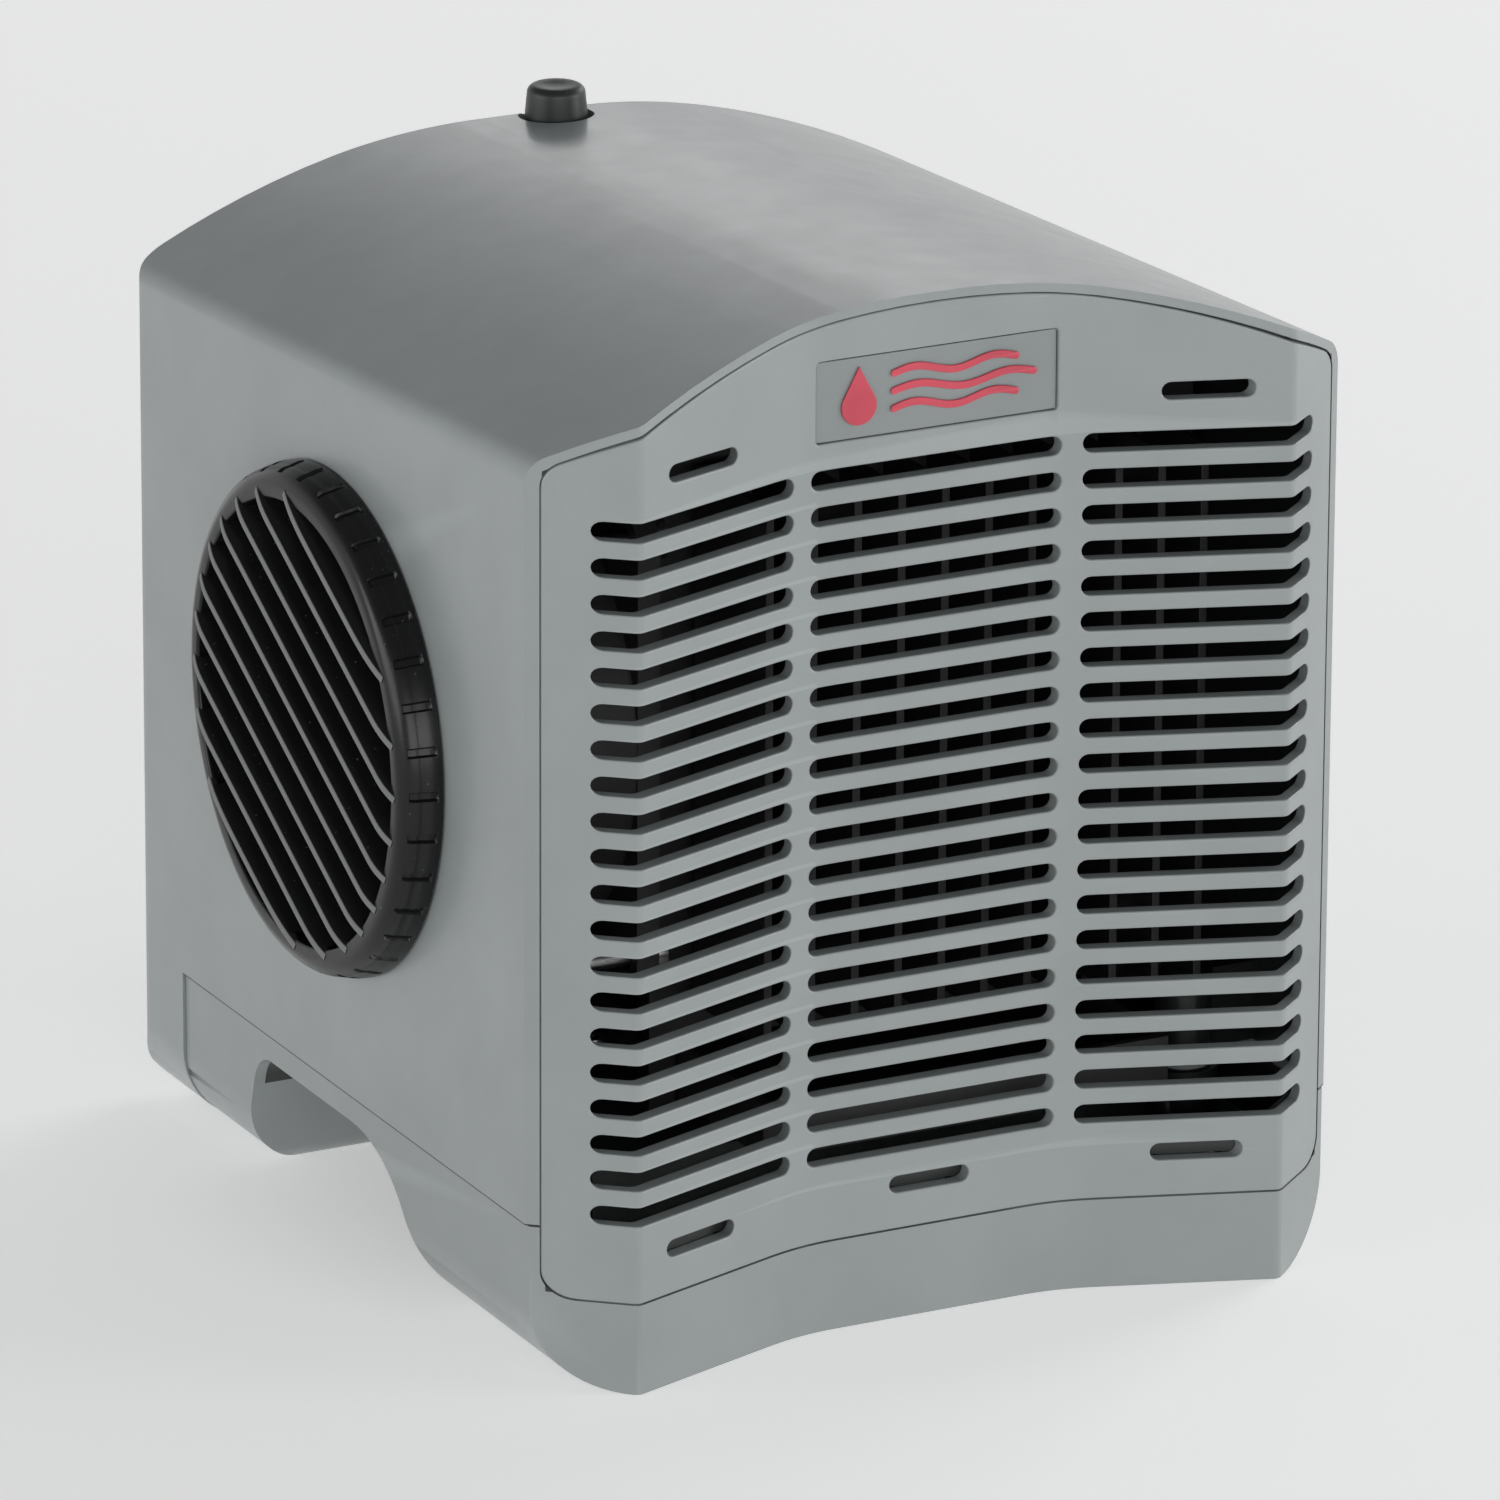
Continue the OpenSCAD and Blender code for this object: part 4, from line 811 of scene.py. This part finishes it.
def stream(x0, x1, z, h):
    """A gently waved bar with round ends."""
    n = 28
    rise = h * 0.55
    waves = 1.5

    def mid(t):
        return z + rise * math.sin(2 * math.pi * waves * t)

    top = [(x0 + (x1 - x0) * i / n, mid(i / n) + h / 2) for i in range(n + 1)]
    low = [(x0 + (x1 - x0) * i / n, mid(i / n) - h / 2) for i in range(n + 1)]
    right = arc(x1, mid(1), h / 2, -90, 90, 6)[1:-1]
    left = arc(x0, mid(0), h / 2, 90, 270, 6)[1:-1]
    return low + right + top[::-1] + left


# ---- Louvre ----

def crown(r, reach):
    """How far the vanes' front stands out at a radius: flat, then falling to the rim."""
    flat = reach - CROWN_FLAT_IN
    if r <= flat:
        return LOUVRE_OUT
    return LOUVRE_OUT - CROWN_BEND_R + math.sqrt(CROWN_BEND_R ** 2 - (r - flat) ** 2)


def rim_section():
    """Half profile of the rim: (radius, height above the wall), outside first."""
    back = HOOD_LO[0] - LOUVRE_HI[0]
    lip = RIM_LIP_R
    inner = LOUVRE_FRONT_R - 1.38 * MM
    spigot = LOUVRE_FRONT_R - 0.08 * MM
    foot = 0.3 * MM
    points = [(inner, back), (spigot, back), (spigot, foot)]
    points += [(LOUVRE_R - 0.15 * MM, foot), (LOUVRE_R, 0.42 * MM), (LOUVRE_R, 0.8 * MM)]
    steps = [0.95, 1.1, 1.25, 1.4, 1.7, 2.1, 2.6]
    for z in steps:
        t = (z - 0.8) / 2.4
        points.append((LOUVRE_R - 0.5 * MM * t * t, z * MM))
    edge = LOUVRE_FRONT_R + lip
    points += [(min(edge, x), y) for x, y in arc(LOUVRE_FRONT_R, RIM_OUT - lip, lip, 0, 90, 14)]
    points += arc(inner + 0.45 * MM, RIM_OUT - 0.45 * MM, 0.45 * MM, 90, 180, 5)
    points.append((inner, 1.0 * MM))
    return points


def rim():
    """The louvre's rim, turned, with finger notches pressed into its outside."""
    section = rim_section()
    step = 360 / NOTCH_N
    # Shares of the pitch, close together where a notch begins and ends
    offsets = [-0.5, -0.36, -0.24, -0.16, -0.115, -0.085, -0.07, 0.07, 0.085, 0.115, 0.16, 0.24,
               0.36]
    bm = bmesh.new()
    rings = []
    for k in range(NOTCH_N):
        for part in offsets:
            a = math.radians((k + part) * step)
            ring = []
            for r, out in section:
                ring.append(bm.verts.new(on_louvre(r - notch_depth(r, out, part), a, out)))
            rings.append(ring)
    for i, ring in enumerate(rings):
        after = rings[(i + 1) % len(rings)]
        for j in range(len(section)):
            k = (j + 1) % len(section)
            bm.faces.new((ring[j], after[j], after[k], ring[k]))
    return bm


def notch_depth(r, out, part):
    """Depth of a notch at a height above the wall and a share of the pitch."""
    if r < LOUVRE_FRONT_R + 1.2 * MM or not NOTCH_LOW < out < NOTCH_TOP:
        return 0
    across = max(0, min(1, (0.1 - abs(part)) / 0.025))
    along = max(0, min(1, (out - NOTCH_LOW) / (0.2 * MM)))
    return NOTCH_DEEP * across * along


def on_louvre(r, a, out):
    """A point by its radius, its angle and its height above the wall."""
    return (HOOD_LO[0] - out, LOUVRE_Y + r * math.cos(a), LOUVRE_Z + r * math.sin(a))


def vane(bm, offset, reach):
    """One straight vane with a rounded front edge, following the crown."""
    half_length = math.sqrt(reach * reach - offset * offset)
    along = Vector((0, -math.cos(VANE_SLOPE), -math.sin(VANE_SLOPE)))
    across = Vector((0, math.sin(VANE_SLOPE), -math.cos(VANE_SLOPE)))
    back = LOUVRE_HI[0] - HOOD_LO[0] - 1.2 * MM
    n = 44
    t = VANE_T / 2
    nose = VANE_NOSE
    rings = []
    for i in range(n + 1):
        s = half_length * math.sin(math.pi * (i / n - 0.5))
        r = math.hypot(s, offset)
        out = crown(r, reach)
        low = -back if r < LOUVRE_FRONT_R - 1.2 * MM else RIM_OUT - 0.6 * MM
        section = [(-t, low), (-t, out - nose), (-t * 0.85, out - nose * 0.2), (-t * 0.6, out),
                   (t * 0.6, out), (t * 0.85, out - nose * 0.2), (t, out - nose), (t, low)]
        ring = []
        for side, height in section:
            lean = math.tan(VANE_TILT) * (height - LOUVRE_OUT)
            p = Vector((HOOD_LO[0] - height, LOUVRE_Y, LOUVRE_Z))
            ring.append(bm.verts.new(p + along * s + across * (offset + side + lean)))
        rings.append(ring)
    for a, b in zip(rings, rings[1:]):
        for j in range(len(a)):
            k = (j + 1) % len(a)
            bm.faces.new((a[j], b[j], b[k], a[k]))
    bm.faces.new(rings[0])
    bm.faces.new(rings[-1][::-1])


def louvre():
    bm = rim()
    reach = LOUVRE_FRONT_R - 0.1 * MM
    count = int(reach / VANE_PITCH) + 1
    for k in range(-count, count + 1):
        offset = VANE_FIRST + k * VANE_PITCH
        if abs(offset) < reach - 1.5 * MM:
            vane(bm, offset, reach)
    finish_piece("louvre_grille", bm, "louvre", 35)


# ---- Button ----

def button():
    """The cap: slightly tapered, with a rounded edge and a shallow dished top."""
    centre = Vector(((CAP_LO[0] + CAP_HI[0]) / 2, (CAP_LO[1] + CAP_HI[1]) / 2, 0))
    r = (CAP_HI[0] - CAP_LO[0]) / 2
    top = CAP_HI[2]
    skirt = top - 8.9 * MM
    stem = 1.8 * MM
    edge = 1.2 * MM
    section = [(0, CAP_LO[2]), (stem - 0.3 * MM, CAP_LO[2]), (stem, CAP_LO[2] + 0.3 * MM),
               (stem, skirt), (r - 0.2 * MM, skirt), (r, skirt + 0.2 * MM),
               (r, top - 4.2 * MM)]
    section += arc(r - 0.3 * MM - edge, top - edge, edge, 4, 84, 9)
    section += [(r - 2.2 * MM, top - 0.02 * MM), (r - 3.0 * MM, top - 0.12 * MM),
                (r * 0.2, top - 0.2 * MM), (0, top - 0.2 * MM)]
    bm = bmesh.new()
    n = 72
    verts = []
    for x, z in section:
        if x == 0:
            verts.append([bm.verts.new(centre + Vector((0, 0, z)))])
            continue
        verts.append([
            bm.verts.new(centre + Vector((x * math.cos(2 * math.pi * i / n),
                                          x * math.sin(2 * math.pi * i / n), z)))
            for i in range(n)
        ])
    for a, b in zip(verts, verts[1:]):
        for i in range(n):
            j = (i + 1) % n
            corners = [a[i % len(a)], a[j % len(a)], b[j % len(b)], b[i % len(b)]]
            bm.faces.new(list(dict.fromkeys(corners)))
    finish_piece("button_cap_skin", bm, "button_cap", 40)


# ---- Everything else keeps its CAD shape ----

def dress_cad_nodes(done):
    """Materials, and small true bevels, for the nodes that stay as the CAD made them."""
    for name, obj in frame["nodes"].items():
        if name in done:
            continue
        paint(obj, SLOT_OF[name])
        weld = obj.modifiers.new("weld", "WELD")
        weld.merge_threshold = WELD_DIST
        if name not in NO_BEVEL:
            bevel = obj.modifiers.new("edges", "BEVEL")
            bevel.width = BEVELS.get(name, FINE_BEVEL) * MM
            bevel.segments = 2
            bevel.limit_method = "ANGLE"
            bevel.angle_limit = math.radians(35)
            bevel.use_clamp_overlap = True
            bevel.harden_normals = False
        weighted = obj.modifiers.new("even_shading", "WEIGHTED_NORMAL")
        weighted.keep_sharp = True


FINE_BEVEL = 0.15
BEVELS = {"cable_gland": 0.35, "drain_nut": 0.3, "gland_nut": 0.3, "fan_frame": 0.3}
NO_BEVEL = {"module_leads", "fan_leads", "switch_leads", "button_spring",
            "thermoelectric_module"}


# ---- Studio ----

def add_floor():
    """A pale floor that gives a little light of its own."""
    bm = bmesh.new()
    bmesh.ops.create_grid(bm, x_segments=8, y_segments=8, size=4.0)
    mesh = bpy.data.meshes.new("floor")
    bm.to_mesh(mesh)
    bm.free()
    floor = bpy.data.objects.new("floor", mesh)
    bpy.context.scene.collection.objects.link(floor)
    mat, tree, bsdf, node = shader("floor")
    where = coordinates(tree, node)
    tone = tint(tree, node, noise(tree, node, where, 3, 2), (0.90, 0.90, 0.90), (0.92, 0.92, 0.92))
    tree.links.new(tone, bsdf.inputs["Base Color"])
    bsdf.inputs["Roughness"].default_value = 0.9
    bsdf.inputs["Emission Color"].default_value = (1, 1, 1, 1)
    bsdf.inputs["Emission Strength"].default_value = FLOOR_GLOW
    mesh.materials.append(mat)


def add_light(name, place, target, size, power):
    """A soft rectangular light that faces a target."""
    data = bpy.data.lights.new(name, "AREA")
    data.shape = "RECTANGLE"
    data.size, data.size_y = size
    data.energy = power
    light = bpy.data.objects.new(name, data)
    light.location = place
    light.rotation_euler = (Vector(target) - Vector(place)).to_track_quat("-Z", "Y").to_euler()
    bpy.context.scene.collection.objects.link(light)


def add_studio():
    """A pale room that darkens overhead and brightens to the right."""
    world = bpy.data.worlds.new("studio")
    bpy.context.scene.world = world
    world.use_nodes = True
    tree = world.node_tree
    back = tree.nodes["Background"]
    split = tree.nodes.new("ShaderNodeSeparateXYZ")
    tree.links.new(tree.nodes.new("ShaderNodeTexCoord").outputs["Generated"], split.inputs[0])
    rise = tree.nodes.new("ShaderNodeMapRange")
    rise.interpolation_type = "SMOOTHSTEP"
    rise.inputs["From Min"].default_value = 0.12
    rise.inputs["From Max"].default_value = 0.62
    rise.inputs["To Min"].default_value = HORIZON
    rise.inputs["To Max"].default_value = OVERHEAD
    tree.links.new(split.outputs["Z"], rise.inputs["Value"])
    side = tree.nodes.new("ShaderNodeMapRange")
    side.inputs["From Min"].default_value = -1
    side.inputs["From Max"].default_value = 1
    side.inputs["To Min"].default_value = 1 - SIDE_LEAN
    side.inputs["To Max"].default_value = 1 + SIDE_LEAN
    tree.links.new(split.outputs["X"], side.inputs["Value"])
    both = tree.nodes.new("ShaderNodeMath")
    both.operation = "MULTIPLY"
    tree.links.new(rise.outputs["Result"], both.inputs[0])
    tree.links.new(side.outputs["Result"], both.inputs[1])
    tree.links.new(both.outputs["Value"], back.inputs["Strength"])
    back.inputs["Color"].default_value = (0.97, 0.98, 1.0, 1)
    aim = (0, 0, 0.08)
    for name, place, size, power in LIGHTS:
        add_light(name, place, aim, size, power)
    bpy.context.scene.view_settings.view_transform = "Standard"


front_panel()
hood()
base()
badge()
badge_mark()
louvre()
button()
dress_cad_nodes({"front_panel", "hood", "base", "badge_plate", "badge_mark", "louvre",
                 "button_cap"})
add_floor()
add_studio()
